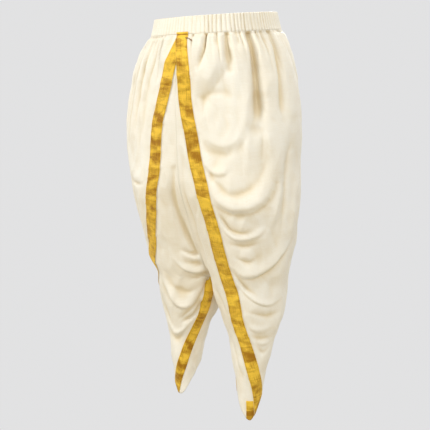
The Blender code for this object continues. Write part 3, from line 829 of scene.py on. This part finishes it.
def painted_fold_shade(lift, normal):
    """Painted warm shade: 0 on open cloth, 1 deep in a fold or on a face turned down under one.
    """
    around = lift
    for _ in range(SPREAD):
        wide = np.pad(around, 1, mode="edge")
        around = (wide[1:-1, :-2] + wide[1:-1, 2:] + wide[:-2, 1:-1] + wide[2:, 1:-1]) / 4.0
    sunk = np.clip((around - lift) / HOLLOW_DEPTH, 0.0, 1.0)
    under = np.clip(-normal[..., 2] / HOLLOW_TILT, 0.0, 1.0)
    return np.clip(SUNK_SHARE * sunk + UNDER_SHARE * under, 0.0, 1.0)


def draped(half, angle, height):
    """Points of the folded cloth, their outward directions, and painted shade for folds and
    undersides.
    """
    out, rear, normal_x, normal_y = oval(half, angle, height)
    rear = softened_rear(half, out, rear, angle, height)
    lift = relief(half, angle, height, np.stack([out * half.sign, rear, height], axis=-1))
    out, rear = out + normal_x * lift, rear + normal_y * lift
    up = tipped(out, rear, height, half.sign)
    up = up - DROOP * np.maximum(lift, 0.0) * ease(-height, *HANGS_FREE)
    points = np.stack([out, rear, up], axis=-1)
    normal = np.cross(np.gradient(points, axis=1), -np.gradient(points, axis=0))
    normal /= np.linalg.norm(normal, axis=-1, keepdims=True)
    return points, normal, painted_fold_shade(lift, normal)


print("a ridge sinks by", DROOP, "of its height")

# %% [markdown]
# ## Columns and rows of the grid
#
# A column is a line down the cloth, with an angle for the height of each row. The first
# columns of an outer panel lie under its tape, so the tape can borrow them. Rows pull down
# towards the pointed hem, and every angle has to be read at its own height, so the grid is
# settled in a few damped rounds.

# %% The pointed hem and the inner leg
LEG_SEAM_GAP = 0.0006


def cut_height(half, angle, uncut):
    """Height of a row after the hem is cut to its point."""
    hem = half.hem
    swing = np.abs(np.cos(np.radians(angle - hem.tip_angle) / 2))
    sharpness = np.where(angle < hem.tip_angle, hem.inner_sharpness, hem.sharpness)
    low = hem.round_height + (hem.tip_height - hem.round_height) * swing**sharpness
    drop = (low - HEM_START) / (UNCUT_HEM - HEM_START)
    return np.where(uncut < HEM_START, HEM_START + (uncut - HEM_START) * drop, uncut)


def half_gap(half, height):
    """Half the gap at the seam on the inner leg, as an angle."""
    return np.where(height > CROTCH, 0.0, LEG_SEAM_GAP / 2 / arc_rate(half, 90.0, height))


print("left tip of the hem:", cut_height(LEFT, LEFT.hem.tip_angle, UNCUT_HEM))

# %% Columns of the panels
TAPE_COLUMNS = 8
UNDERLAP = 0.050
UNDERLAP_REACH = 0.065
UNDERLAP_COLUMNS = 8
PANEL_COLUMNS = 192
INNER_COLUMNS = 56
LOWER_TAPE_WIDTH = 0.027
MOST_TAPE_SHARE = 0.45
LEAST_OPEN = 2.5


def edge_columns(half, height, distance):
    """Angles of columns that keep a distance from the outer panel's free edge."""
    return travel(half, overlay_line(half, height), height, distance, overlay_line)


def tape_columns(half, height):
    """Angles of the columns under an outer panel's tape."""
    return edge_columns(half, height,
                        front_tape_width(height) * np.arange(TAPE_COLUMNS + 1) / TAPE_COLUMNS)


def overlay_columns(half, height):
    """Angles of the outer panel's columns, each at its own heights."""
    first = TAPE_COLUMNS + 1
    under, lap, rest = np.split(height, (first, first + UNDERLAP_COLUMNS), axis=1)
    taped = front_tape_width(lap)
    step = np.arange(1, UNDERLAP_COLUMNS + 1)
    lapped = edge_columns(half, lap, taped + (UNDERLAP_REACH - taped) * step / UNDERLAP_COLUMNS)
    begin = edge_columns(half, rest, UNDERLAP_REACH)
    last = back_line(half, rest) - half_gap(half, rest)
    wrapped = begin + (last - begin) * np.arange(1, PANEL_COLUMNS + 1) / PANEL_COLUMNS
    return np.concatenate([tape_columns(half, under), lapped, wrapped], axis=1)


def inner_columns(half, height):
    """Angles of the inner panel's columns, from its seam or free edge to the underlap."""
    column = np.arange(TAPE_COLUMNS + INNER_COLUMNS + 1)
    start = inner_line(half, height) + half_gap(half, height)
    lapped = np.maximum(overlay_line(half, height), start + LEAST_OPEN)
    full = travel(half, start, height, LOWER_TAPE_WIDTH, inner_line)
    tape_side = np.minimum(full, start + MOST_TAPE_SHARE * (lapped - start))
    last = travel(half, lapped, height, UNDERLAP, overlay_line)
    return np.where(column <= TAPE_COLUMNS, start + (tape_side - start) * column / TAPE_COLUMNS,
                    tape_side + (last - tape_side) * (column - TAPE_COLUMNS) / INNER_COLUMNS)


print("columns across:", PANEL_COLUMNS, "outer and", INNER_COLUMNS, "inner")

# %% Settled grids
TOP_ROWS = 7
TOP_STRIP = 0.012
ROWS = 226
SETTLING_ROUNDS = 14
DAMPING = 0.5


def settled_grid(half, columns, count):
    """Angles and heights of a grid whose columns are read at their own cut heights."""
    top = -BAND_HEIGHT / 2 - SEAM_GAP
    strip = np.linspace(top, top - TOP_STRIP, TOP_ROWS + 1)
    uncut = np.concatenate([strip, np.linspace(strip[-1], UNCUT_HEM, ROWS + 1)[1:]])[:, None]
    height = np.repeat(uncut, count, axis=1)
    for _ in range(SETTLING_ROUNDS):
        angle = columns(half, height)
        height = DAMPING * height + (1.0 - DAMPING) * cut_height(half, angle, uncut)
    return angle, height


print("rows down each panel:", TOP_ROWS + ROWS)

# %% [markdown]
# ## Materials
#
# Each effect is a node group. The weave group gives fine threads, long slubs and faint
# crumples, and paints a warmer, darker shade into the hollows of folds and onto faces turned
# down under them. The foil group gives the gold tape painted reflections: a flat metallic
# ribbon that has been pressed shows abrupt light and dark stretches with crosswise edges,
# and these are painted into its colour, with a painted highlight where its selvedges catch the
# light.

# %% Node helpers
def new_group(name, inputs):
    """A node group that gives a colour, a roughness and a height, and its map in metres."""
    group = bpy.data.node_groups.new(name, "ShaderNodeTree")
    for label, kind, value in inputs:
        socket = group.interface.new_socket(label, in_out="INPUT", socket_type=kind)
        socket.default_value = value
    for label, kind in (("Color", "NodeSocketColor"), ("Roughness", "NodeSocketFloat"),
                        ("Height", "NodeSocketFloat")):
        group.interface.new_socket(label, in_out="OUTPUT", socket_type=kind)
    uv = add_node(group, "ShaderNodeUVMap", {"uv_map": "cloth"}).outputs["UV"]
    given = group.nodes.new("NodeGroupInput").outputs
    return group, given, group.nodes.new("NodeGroupOutput").inputs, uv


def add_node(tree, kind, settings=None, **values):
    """A new node with its settings and with values or links for its inputs."""
    node = tree.nodes.new(kind)
    for key, value in (settings or {}).items():
        setattr(node, key, value)
    feed(tree, [node.inputs[key] for key in values], values.values())
    return node


def calc(tree, operation, *values):
    """One step of arithmetic on numbers and nodes' outputs."""
    node = add_node(tree, "ShaderNodeMath", {"operation": operation})
    feed(tree, node.inputs, values)
    return node.outputs[0]


def weighted(tree, total, *rows):
    """A start value plus each value times its share."""
    for value, share in rows:
        total = calc(tree, "ADD", calc(tree, "MULTIPLY", value, share), total)
    return total


def kept(tree, name):
    """A number that each vertex keeps."""
    return add_node(tree, "ShaderNodeAttribute", {"attribute_name": name}).outputs["Fac"]


def texture(tree, uv, kind, scale, output="Fac", settings=None, **values):
    """A texture on the cloth's own map, with its own scale across and along."""
    mapping = add_node(tree, "ShaderNodeMapping", Vector=uv, Scale=(*scale, 1.0))
    made = add_node(tree, "ShaderNodeTex" + kind, settings, Vector=mapping.outputs["Vector"],
                    Scale=1.0, **values)
    return made.outputs[output]


def ribs(tree, uv, way, rate, distortion):
    """Parallel ribs across one way of the cloth, so many to the metre."""
    return add_node(tree, "ShaderNodeTexWave", {"bands_direction": way}, Vector=uv, Scale=rate,
                    Distortion=distortion).outputs["Fac"]


print("group outputs: colour, roughness and height")

# %% The weave group
HOLLOW_SHADE = 0.72
weave, weave_in, weave_out, uv = new_group("woven_tone", (
    ("Light", "NodeSocketColor", (0.9, 0.86, 0.75, 1.0)),
    ("Dark", "NodeSocketColor", (0.8, 0.74, 0.6, 1.0)),
    ("Threads per metre", "NodeSocketFloat", 900.0)))
slubs = texture(weave, uv, "Noise", (26.0, 420.0), Detail=3.0)
warps = texture(weave, uv, "Noise", (520.0, 30.0), Detail=2.0)
cloud = texture(weave, uv, "Noise", (11.0, 7.0), Detail=4.0)
crumple = texture(weave, uv, "Voronoi", (34.0, 22.0), "Distance", {"feature": "SMOOTH_F1"},
                  Smoothness=0.25)
grain = weighted(weave, 0.0, (slubs, 0.6), (warps, 0.4))
# Painted shade: the kept value turns the silk towards the dark colour deep in folds and on faces
# turned down; grain and cloud are the cloth's own uneven tone.
tone_and_shade = weighted(weave, 0.18, (grain, 0.55), (cloud, 0.45), (kept(weave, "hollow"), -HOLLOW_SHADE))
crossing = calc(weave, "MULTIPLY", *(
    ribs(weave, uv, way, weave_in["Threads per metre"], 0.6) for way in ("X", "Y")))
feed(weave, weave_out, (
    mix_colour(weave, tone_and_shade, weave_in["Dark"], weave_in["Light"]),
    weighted(weave, 0.25, (grain, 0.20)),
    weighted(weave, crumple, (crossing, 0.12), (grain, 0.28))))
print("group:", weave.name)

# %% The foil group
SHADE = 0.12
SELVEDGE = 0.0013
STITCH_PITCH = 0.0032
STITCH_LENGTH = 0.7
STITCH_INSET = 0.0024
STITCH_HALF = 0.0004
# Painted shadow along the groove where the left tape's top laps over the band.
GROOVE_SHADOW = 1.2
foil, foil_in, foil_out, uv = new_group("crinkled_foil", (
    ("Bright", "NodeSocketColor", (0.86, 0.58, 0.12, 1.0)),
    ("Deep", "NodeSocketColor", (0.45, 0.24, 0.02, 1.0)),
    ("Ribs per metre", "NodeSocketFloat", 420.0)))
# Painted reflections: patches, lengthwise streaks, crosswise creases and pressed stretches light
# and darken the tape's colour, as crinkled metal foil does under a lamp; patches and creases also
# give its bumps.
patches = texture(foil, uv, "Noise", (26.0, 40.0), Detail=3.0, Roughness=0.55, Distortion=0.3)
streaks = texture(foil, uv, "Noise", (900.0, 26.0), Detail=2.0)
creases = texture(foil, uv, "Noise", (24.0, 330.0), Detail=3.0, Distortion=0.6)
pressed, small = (add_node(foil, "ShaderNodeSeparateColor", Color=texture(
    foil, uv, "Voronoi", scale, "Color")).outputs["Red"] for scale in ((7.0, 22.0), (14.0, 80.0)))
from_side = kept(foil, "from_edge")
# A painted highlight along both selvedges, where the tape's edges catch the light.
selvedge_highlight = calc(foil, "LESS_THAN", from_side, SELVEDGE)
along = add_node(foil, "ShaderNodeSeparateXYZ", Vector=uv).outputs["Y"]
step = calc(foil, "FRACT", calc(foil, "DIVIDE", along, STITCH_PITCH))
stitch = calc(foil, "MULTIPLY", calc(foil, "COMPARE", from_side, STITCH_INSET, STITCH_HALF),
              calc(foil, "LESS_THAN", step, STITCH_LENGTH))
wavering = ((patches, 2.9), (streaks, 1.3), (creases, 0.45))
shade = weighted(foil, SHADE - 0.5 * sum(share for _, share in wavering), *wavering,
                 (pressed, 0.56), (small, 0.40), (selvedge_highlight, 0.45), (stitch, -0.5),
                 (kept(foil, "tacked"), -GROOVE_SHADOW))
across = ribs(foil, uv, "X", foil_in["Ribs per metre"], 0.3)
feed(foil, foil_out, (
    mix_colour(foil, shade, foil_in["Deep"], foil_in["Bright"]),
    weighted(foil, 0.30, (patches, 0.2)),
    weighted(foil, 0.0, (across, 0.25), (patches, 0.7), (creases, 0.6), (stitch, -0.5))))
print("group:", foil.name)


# %% The three finishes
def cloth_material(name, group, tones, rate, bump, constants):
    """A Principled cloth whose changing values come from one group."""
    material, shader = new_paint(name, constants)
    tree = material.node_tree
    effect = add_node(tree, "ShaderNodeGroup", {"node_tree": group})
    feed(tree, effect.inputs, ((*tones[0], 1.0), (*tones[1], 1.0), rate))
    raised = add_node(tree, "ShaderNodeBump", Strength=bump[0], Distance=bump[1],
                      Height=effect.outputs["Height"])
    feed(tree, [shader.inputs[key] for key in ("Base Color", "Roughness", "Normal")],
         (effect.outputs["Color"], effect.outputs["Roughness"], raised.outputs["Normal"]))
    return material


silk = cloth_material("draped_silk", weave, ((0.950, 0.915, 0.805), (0.76, 0.62, 0.38)), 900.0,
                      (0.7, 0.0022), {"Sheen Weight": 0.15, "Sheen Roughness": 0.4,
                                      "Specular IOR Level": 0.65})
gold = cloth_material("pressed_gold", foil, ((0.92, 0.58, 0.048), (0.38, 0.165, 0.001)), 420.0,
                      (0.6, 0.0012), {"Metallic": 0.20, "Specular IOR Level": 0.30})
thread = cloth_material("brown_thread", weave, ((0.30, 0.16, 0.05), (0.18, 0.09, 0.03)), 2500.0,
                        (0.2, 0.0004), {"Specular IOR Level": 0.3})
print("materials:", silk.name, gold.name, thread.name)

# %% [markdown]
# ## Sewing a grid into a thin shell
#
# `create_grid` gives the mesh, and every vertex then goes to its place on the drape. The
# UV map holds real metres along and across the cloth, so weave and ribs follow it round
# every fold. Each piece starts at its own place of the cloth, so that no two carry the same
# marks. More numbers are kept at each vertex: the painted shade for lying deep in a fold or
# turning down under one, and on a tape how near it is to an edge and the painted shadow in
# the groove where it is tacked down. A Solidify modifier gives the wall its thickness,
# inwards from the face that we placed.

# %% Maps and meshes
def cloth_map(points, start=0.0):
    """Metres across and down the cloth at each point of a grid."""
    across = np.linalg.norm(np.diff(points, axis=1), axis=-1)
    down = np.linalg.norm(np.diff(points, axis=0), axis=-1)
    u = np.pad(np.cumsum(across, axis=1), ((0, 0), (1, 0)))
    v = np.pad(np.cumsum(down, axis=0), ((1, 0), (0, 0)))
    return np.stack([u, -v - start], axis=-1)


def grid_mesh(name, points, flipped=False):
    """A mesh of faces through a table of points."""
    rows, columns = points.shape[:2]
    bm = bmesh.new()
    made = bmesh.ops.create_grid(bm, x_segments=columns - 1, y_segments=rows - 1, size=1.0)
    for vertex, point in zip(made["verts"], points.reshape(-1, 3)):
        vertex.co = point
    if flipped:
        bmesh.ops.reverse_faces(bm, faces=bm.faces)
    return baked(bm, name)


def keep(mesh, flat, **values):
    """A UV map named cloth, in metres, and one number under each name at every vertex."""
    corners = np.empty(len(mesh.loops), int)
    mesh.loops.foreach_get("vertex_index", corners)
    flat = flat.reshape(-1, 2)[corners]
    mesh.uv_layers.new(name="cloth").data.foreach_set("uv", flat.ravel())
    for name, value in values.items():
        mesh.attributes.new(name, "FLOAT", "POINT").data.foreach_set("value", value.ravel())


print("every sheet keeps a map named cloth")

# %% The shell maker
SILK_WALL = 0.0008
TAPE_WALL = 0.0005
MAP_STARTS = 97
MAP_STEP = 0.31
collection = bpy.data.collections.new("dressed_dhoti")
scene.collection.children.link(collection)


def dress(mesh, material, replaced=None):
    """A finished piece of the garment, on the frame's one body."""
    mesh.shade_smooth()
    mesh.materials.append(material)
    piece = bpy.data.objects.new(mesh.name, mesh)
    collection.objects.link(piece)
    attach(piece, "root")
    if replaced:
        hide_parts(replaced)
    print(piece.name, len(mesh.polygons), "faces")
    return piece


def shell(half, name, points, wall, material, replaced=None, **values):
    """One sheet of cloth through a grid of points, with a wall, a UV map and kept values."""
    name = half.name + name
    mesh = grid_mesh(name, points, flipped=half.sign > 0)
    keep(mesh, cloth_map(points, sum(map(ord, name)) % MAP_STARTS * MAP_STEP), **values)
    thick = dress(mesh, material, replaced).modifiers.new("wall", "SOLIDIFY")
    thick.thickness = wall
    thick.offset = -1.0


print("walls in mm:", SILK_WALL * 1000, "for silk and", TAPE_WALL * 1000, "for tape")

# %% [markdown]
# ## The outer panels and their tapes
#
# On the real garment each outer panel is one wide cloth: it is gathered into the waist,
# wraps the hip and closes at the centre back. In front it lies over the inner panel, so it
# stands off by a cloth's thickness there and comes level again behind the underlap. The
# left one also climbs over the right one at the waist. The left tape's top laps up onto the
# band and is tacked down, which draws it in along the band's lower edge, and a painted
# shadow darkens that groove.

# %% How far the outer panels stand off
FIRST_ROW = -BAND_HEIGHT / 2 - SEAM_GAP
UPPER_LAYER = 0.0013
LEVEL_AGAIN = (0.0575, 0.130)
FRONT_LIFT = 0.0003
CROSS_LIFT = 0.0030
CROSS_HEIGHTS = (-0.200, -0.100)
CROSS_ANGLES = (14.0, 32.0)
TUCK = -0.0002
TUCK_DEPTH = 0.004
TUCK_SLOPE = 2.2


def tucked(offset, height):
    """An offset that starts behind the band's lower edge and swells out below it."""
    below = FIRST_ROW - height
    return (offset + TUCK) * ease(below, 0.0, TUCK_DEPTH + TUCK_SLOPE * offset) - TUCK


def overlay_offset(half, angle, height):
    """How far the outer face of an outer panel stands off the plain drape."""
    past = (angle - overlay_line(half, height)) * arc_rate(half, angle, height)
    above = UPPER_LAYER * (1.0 - ease(past, *LEVEL_AGAIN))
    above = np.where(angle > 0.0, above, UPPER_LAYER)
    lift = FRONT_LIFT + (CROSS_LIFT if half is LEFT else 0.0)
    crossing = ease(height, *CROSS_HEIGHTS) * (1.0 - ease(angle, *CROSS_ANGLES))
    return tucked(above + lift * crossing, height)


print("the upper layer stands off by", UPPER_LAYER * 1000, "mm")

# %% Placing panels and tapes
TUCK_RISE = 0.0008
LEAST_OUT = 0.0001
ON_PANEL = SEAM_GAP + TAPE_WALL


def moved_out(half, points, normal, offset, rise=0.0, own_side=False):
    """Points moved out and up, kept on their side of the middle where asked, and placed."""
    moved = points + normal * np.asarray(offset)[..., None]
    moved[..., 2] += rise
    moved[..., 0] = np.where(own_side, np.maximum(moved[..., 0], LEAST_OUT), moved[..., 0])
    moved[..., 0] *= half.sign
    return moved


def panel(half, layer, angle, height, offset, own_side):
    """The silk of one panel; gives back its drape, which its tape lies on."""
    # The drape also gives the painted shade of folds and undersides, which is kept for the silk's
    # colour.
    points, normal, hollow = draped(half, angle, height)
    rise = TUCK_RISE * (1.0 - ease(FIRST_ROW - height, 0.0, TUCK_DEPTH))
    shell(half, layer + "_silk", moved_out(half, points, normal, offset, rise, own_side),
          SILK_WALL, silk, half.name + layer + "_panel", hollow=hollow)
    return points, normal


def tape(half, name, points, replaced=None, tacked=0.0):
    """A gold tape through a grid of points, with painted shadow along a groove where one is
    given.
    """
    across = cloth_map(points)[..., 0]
    shell(half, name, points, TAPE_WALL, gold, replaced, tacked=tacked + np.zeros(across.shape),
          from_edge=np.minimum(across, across[:, -1:] - across))


print("tapes lie", ON_PANEL * 1000, "mm above their panels")

# %% Outer panels
OWN_SIDE_FROM = 60.0
TAPE_LAP = 0.0060
LAP_ROWS = 5
OVER_BAND = 0.0026
LAP_GROOVE = 0.0016
LAP_GROOVE_REACH = 0.0012


def front_tape(half, angle, height):
    """The tape on an outer panel's free edge; the left one laps up over the band."""
    if half is LEFT:
        rise = np.linspace(TAPE_LAP, TAPE_LAP / LAP_ROWS, LAP_ROWS)[:, None]
        above = np.repeat(FIRST_ROW + rise, TAPE_COLUMNS + 1, axis=1)
        angle = np.concatenate([tape_columns(half, above), angle])
        height = np.concatenate([above, height])
    points, normal, _ = draped(half, angle, height)
    offset = overlay_offset(half, angle, height) + ON_PANEL
    tacked = 0.0
    if half is LEFT:
        # The groove where the tape's top laps over the band, and the painted shadow along it.
        tacked = fading(height - FIRST_ROW, LAP_GROOVE_REACH)
        offset = np.maximum(offset, OVER_BAND) - LAP_GROOVE * tacked
    tape(half, "_front_tape", moved_out(half, points, normal, offset),
         half.name + "_front_border", tacked)


for half in (LEFT, RIGHT):
    angle, height = settled_grid(
        half, overlay_columns, TAPE_COLUMNS + UNDERLAP_COLUMNS + PANEL_COLUMNS + 1)
    panel(half, "_outer", angle, height, overlay_offset(half, angle, height),
          angle > OWN_SIDE_FROM)
    front_tape(half, angle[:, :TAPE_COLUMNS + 1], height[:, :TAPE_COLUMNS + 1])

# %% [markdown]
# ## The inner panels and their lower tapes
#
# The inner panel shows between the crossing edges in front, closes the inner leg, and ends
# in a free edge below the crotch. That edge carries the short lower tape. At the left ankle
# the end of that tape is turned across the hem and shows beside the front tape.

# %% Inner panels
for half in (LEFT, RIGHT):
    angle, height = settled_grid(half, inner_columns, TAPE_COLUMNS + INNER_COLUMNS + 1)
    points, normal = panel(half, "_inner", angle, height, tucked(0.0, height), height > CROTCH)
    first_row = int(np.argmax(height[:, 0] < CROTCH))
    part = np.s_[first_row:, :TAPE_COLUMNS + 1]
    tape(half, "_lower_tape", moved_out(half, points[part], normal[part], ON_PANEL),
         half.name + "_lower_border")

# %% The turned end of the left lower tape
TURN_ANGLES = (24.0, 74.0)
TURN_TOP = -0.925
TURN_STEPS = 16
steps = np.linspace(0.0, 1.0, TURN_STEPS + 1)[:, None]
angle = np.linspace(*TURN_ANGLES, TURN_STEPS + 1) + 0.0 * steps
height = TURN_TOP + (cut_height(LEFT, angle, UNCUT_HEM) - TURN_TOP) * steps
points, normal, _ = draped(LEFT, angle, height)
tape(LEFT, "_turned_tape", moved_out(LEFT, points, normal, ON_PANEL))

# %% [markdown]
# ## The tacking thread
#
# A brown thread tacks the top of the left tape down, and its two cut ends are left long.
# Each end is a thin round curve that lies on the cloth.

# %% Tacking thread
THREAD_RADIUS = 0.0009
THREAD_ROUNDNESS = 2
THREAD_LIFT = 0.0012
THREAD_PROBE = 0.001
THREAD_ENDS = (
    ((9.0, -0.0290), (11.0, -0.0300), (13.0, -0.0340), (14.5, -0.0400)),
    ((9.6, -0.0330), (11.6, -0.0300), (13.6, -0.0345), (16.8, -0.0385)),
)
curve = bpy.data.curves.new("tacking_thread", "CURVE")
curve.dimensions = "3D"
curve.bevel_depth = THREAD_RADIUS
curve.bevel_resolution = THREAD_ROUNDNESS
curve.use_fill_caps = True
for route in THREAD_ENDS:
    angle, height = np.array(route).T
    angle, height = np.stack([angle, angle]), np.stack([height, height - THREAD_PROBE])
    points, normal, _ = draped(LEFT, angle, height)
    offset = overlay_offset(LEFT, angle, height) + THREAD_LIFT
    places = moved_out(LEFT, points, normal, offset)[0]
    spline = curve.splines.new("NURBS")
    spline.points.add(len(places) - 1)
    for point, place in zip(spline.points, places):
        point.co = (*place, 1.0)
    spline.use_endpoint_u = True
    spline.order_u = 3
drawn = bpy.data.objects.new("drawn", curve)
mesh = bpy.data.meshes.new_from_object(drawn)
bpy.data.objects.remove(drawn)
mesh.uv_layers.remove(mesh.uv_layers[0])
places = np.array([vertex.co for vertex in mesh.vertices])
keep(mesh, places[:, [0, 2]], hollow=np.zeros(len(places)))
dress(mesh, thread)

# %% [markdown]
# ## The elastic waistband
#
# The elastic inside the casing draws its silk up into upright flutes, flatter on one
# stretch in front. One grid wraps the whole casing: over the outer face, round the crown
# and down the inside.

# %% Flutes of the waistband
FLUTES = 102
FLUTE_COLUMNS = 9
FLUTE_DEPTH = 0.0034
FLUTE_SHARP = 0.55
FLUTE_CREST = 0.35
FLUTE_LEAST = 0.45
FLUTE_MORE = 0.65
FLUTE_RISE = 0.0009
PLAIN_AT = 335.0
PLAIN_REACH = 28.0
PLAIN_SHARE = 0.70
HEM_ROUND = 0.0012
HEM_ROUND_HEIGHT = 0.004
BAND_SHADE = 0.20


def band_face(offset, heights, share):
    """Rows of points round the casing at an offset from its plain oval, and their painted shade.
    """
    angle = np.linspace(0.0, 360.0, FLUTES * FLUTE_COLUMNS + 1)[None, :]
    height = np.array(heights)[:, None]
    out, rear, normal_x, normal_y = oval(LEFT, angle, height)
    turn = np.radians(angle)
    phase = FLUTES * turn + waves(turn, (1.4, 5, 0.7), (1.1, 13, 0.0), (16.0 * height, 17, 0.0),
                                  (9.0 * height, 41, 0.0))
    deep = FLUTE_LEAST + FLUTE_MORE * uneven(valleys(phase), 4, 1)
    from_plain = (angle - PLAIN_AT + 180.0) % 360.0 - 180.0
    flute = (FLUTE_CREST - deep * notches(phase, FLUTE_SHARP)) * (
        1.0 - PLAIN_SHARE * fading(from_plain, PLAIN_REACH))
    rounding = HEM_ROUND * (1.0 - ease(height + BAND_HEIGHT / 2, 0.0, HEM_ROUND_HEIGHT))
    lift = offset + (FLUTE_DEPTH * flute - rounding) * share
    x, y = out + normal_x * lift, rear + normal_y * lift
    z = tipped(x, y, height, 1) + FLUTE_RISE * flute * ease(height, 0.0, BAND_HEIGHT / 2)
    # The painted shade is deepest in the flute valleys and none on the crests.
    return np.stack([x, y, z], axis=-1), np.clip(BAND_SHADE - flute * share, 0.0, 1.0)


print("flutes round the band:", FLUTES)

# %% Waistband casing
BAND_WALL = 0.003
BAND_ROWS = 16
CROWN = 0.0015
CROWN_SHARES = (0.75, 0.5, 0.25)
INSIDE_FLUTES = 0.35
edge_height = BAND_HEIGHT / 2 - SEAM_GAP / 2
top = edge_height - CROWN
outside = band_face(0.0, np.linspace(top, -edge_height, BAND_ROWS), 1.0)
inside = band_face(-BAND_WALL, np.linspace(-edge_height, top, BAND_ROWS // 2), INSIDE_FLUTES)
crown = [band_face(-BAND_WALL * share, [top + CROWN * np.sin(np.pi * share)], 1.0 - share)
         for share in CROWN_SHARES]
grid, deep = (np.concatenate(part) for part in zip(*crown, outside, inside, crown[0]))
mesh = grid_mesh("waistband_casing", grid)
# deep holds the band's painted shade, deepest in its flute valleys.
keep(mesh, cloth_map(grid), hollow=deep)
bm = bmesh.new()
bm.from_mesh(mesh)
bmesh.ops.remove_doubles(bm, verts=bm.verts, dist=TINY)
bmesh.ops.recalc_face_normals(bm, faces=bm.faces)
bm.to_mesh(mesh)
bm.free()
band = dress(mesh, silk, "waistband")
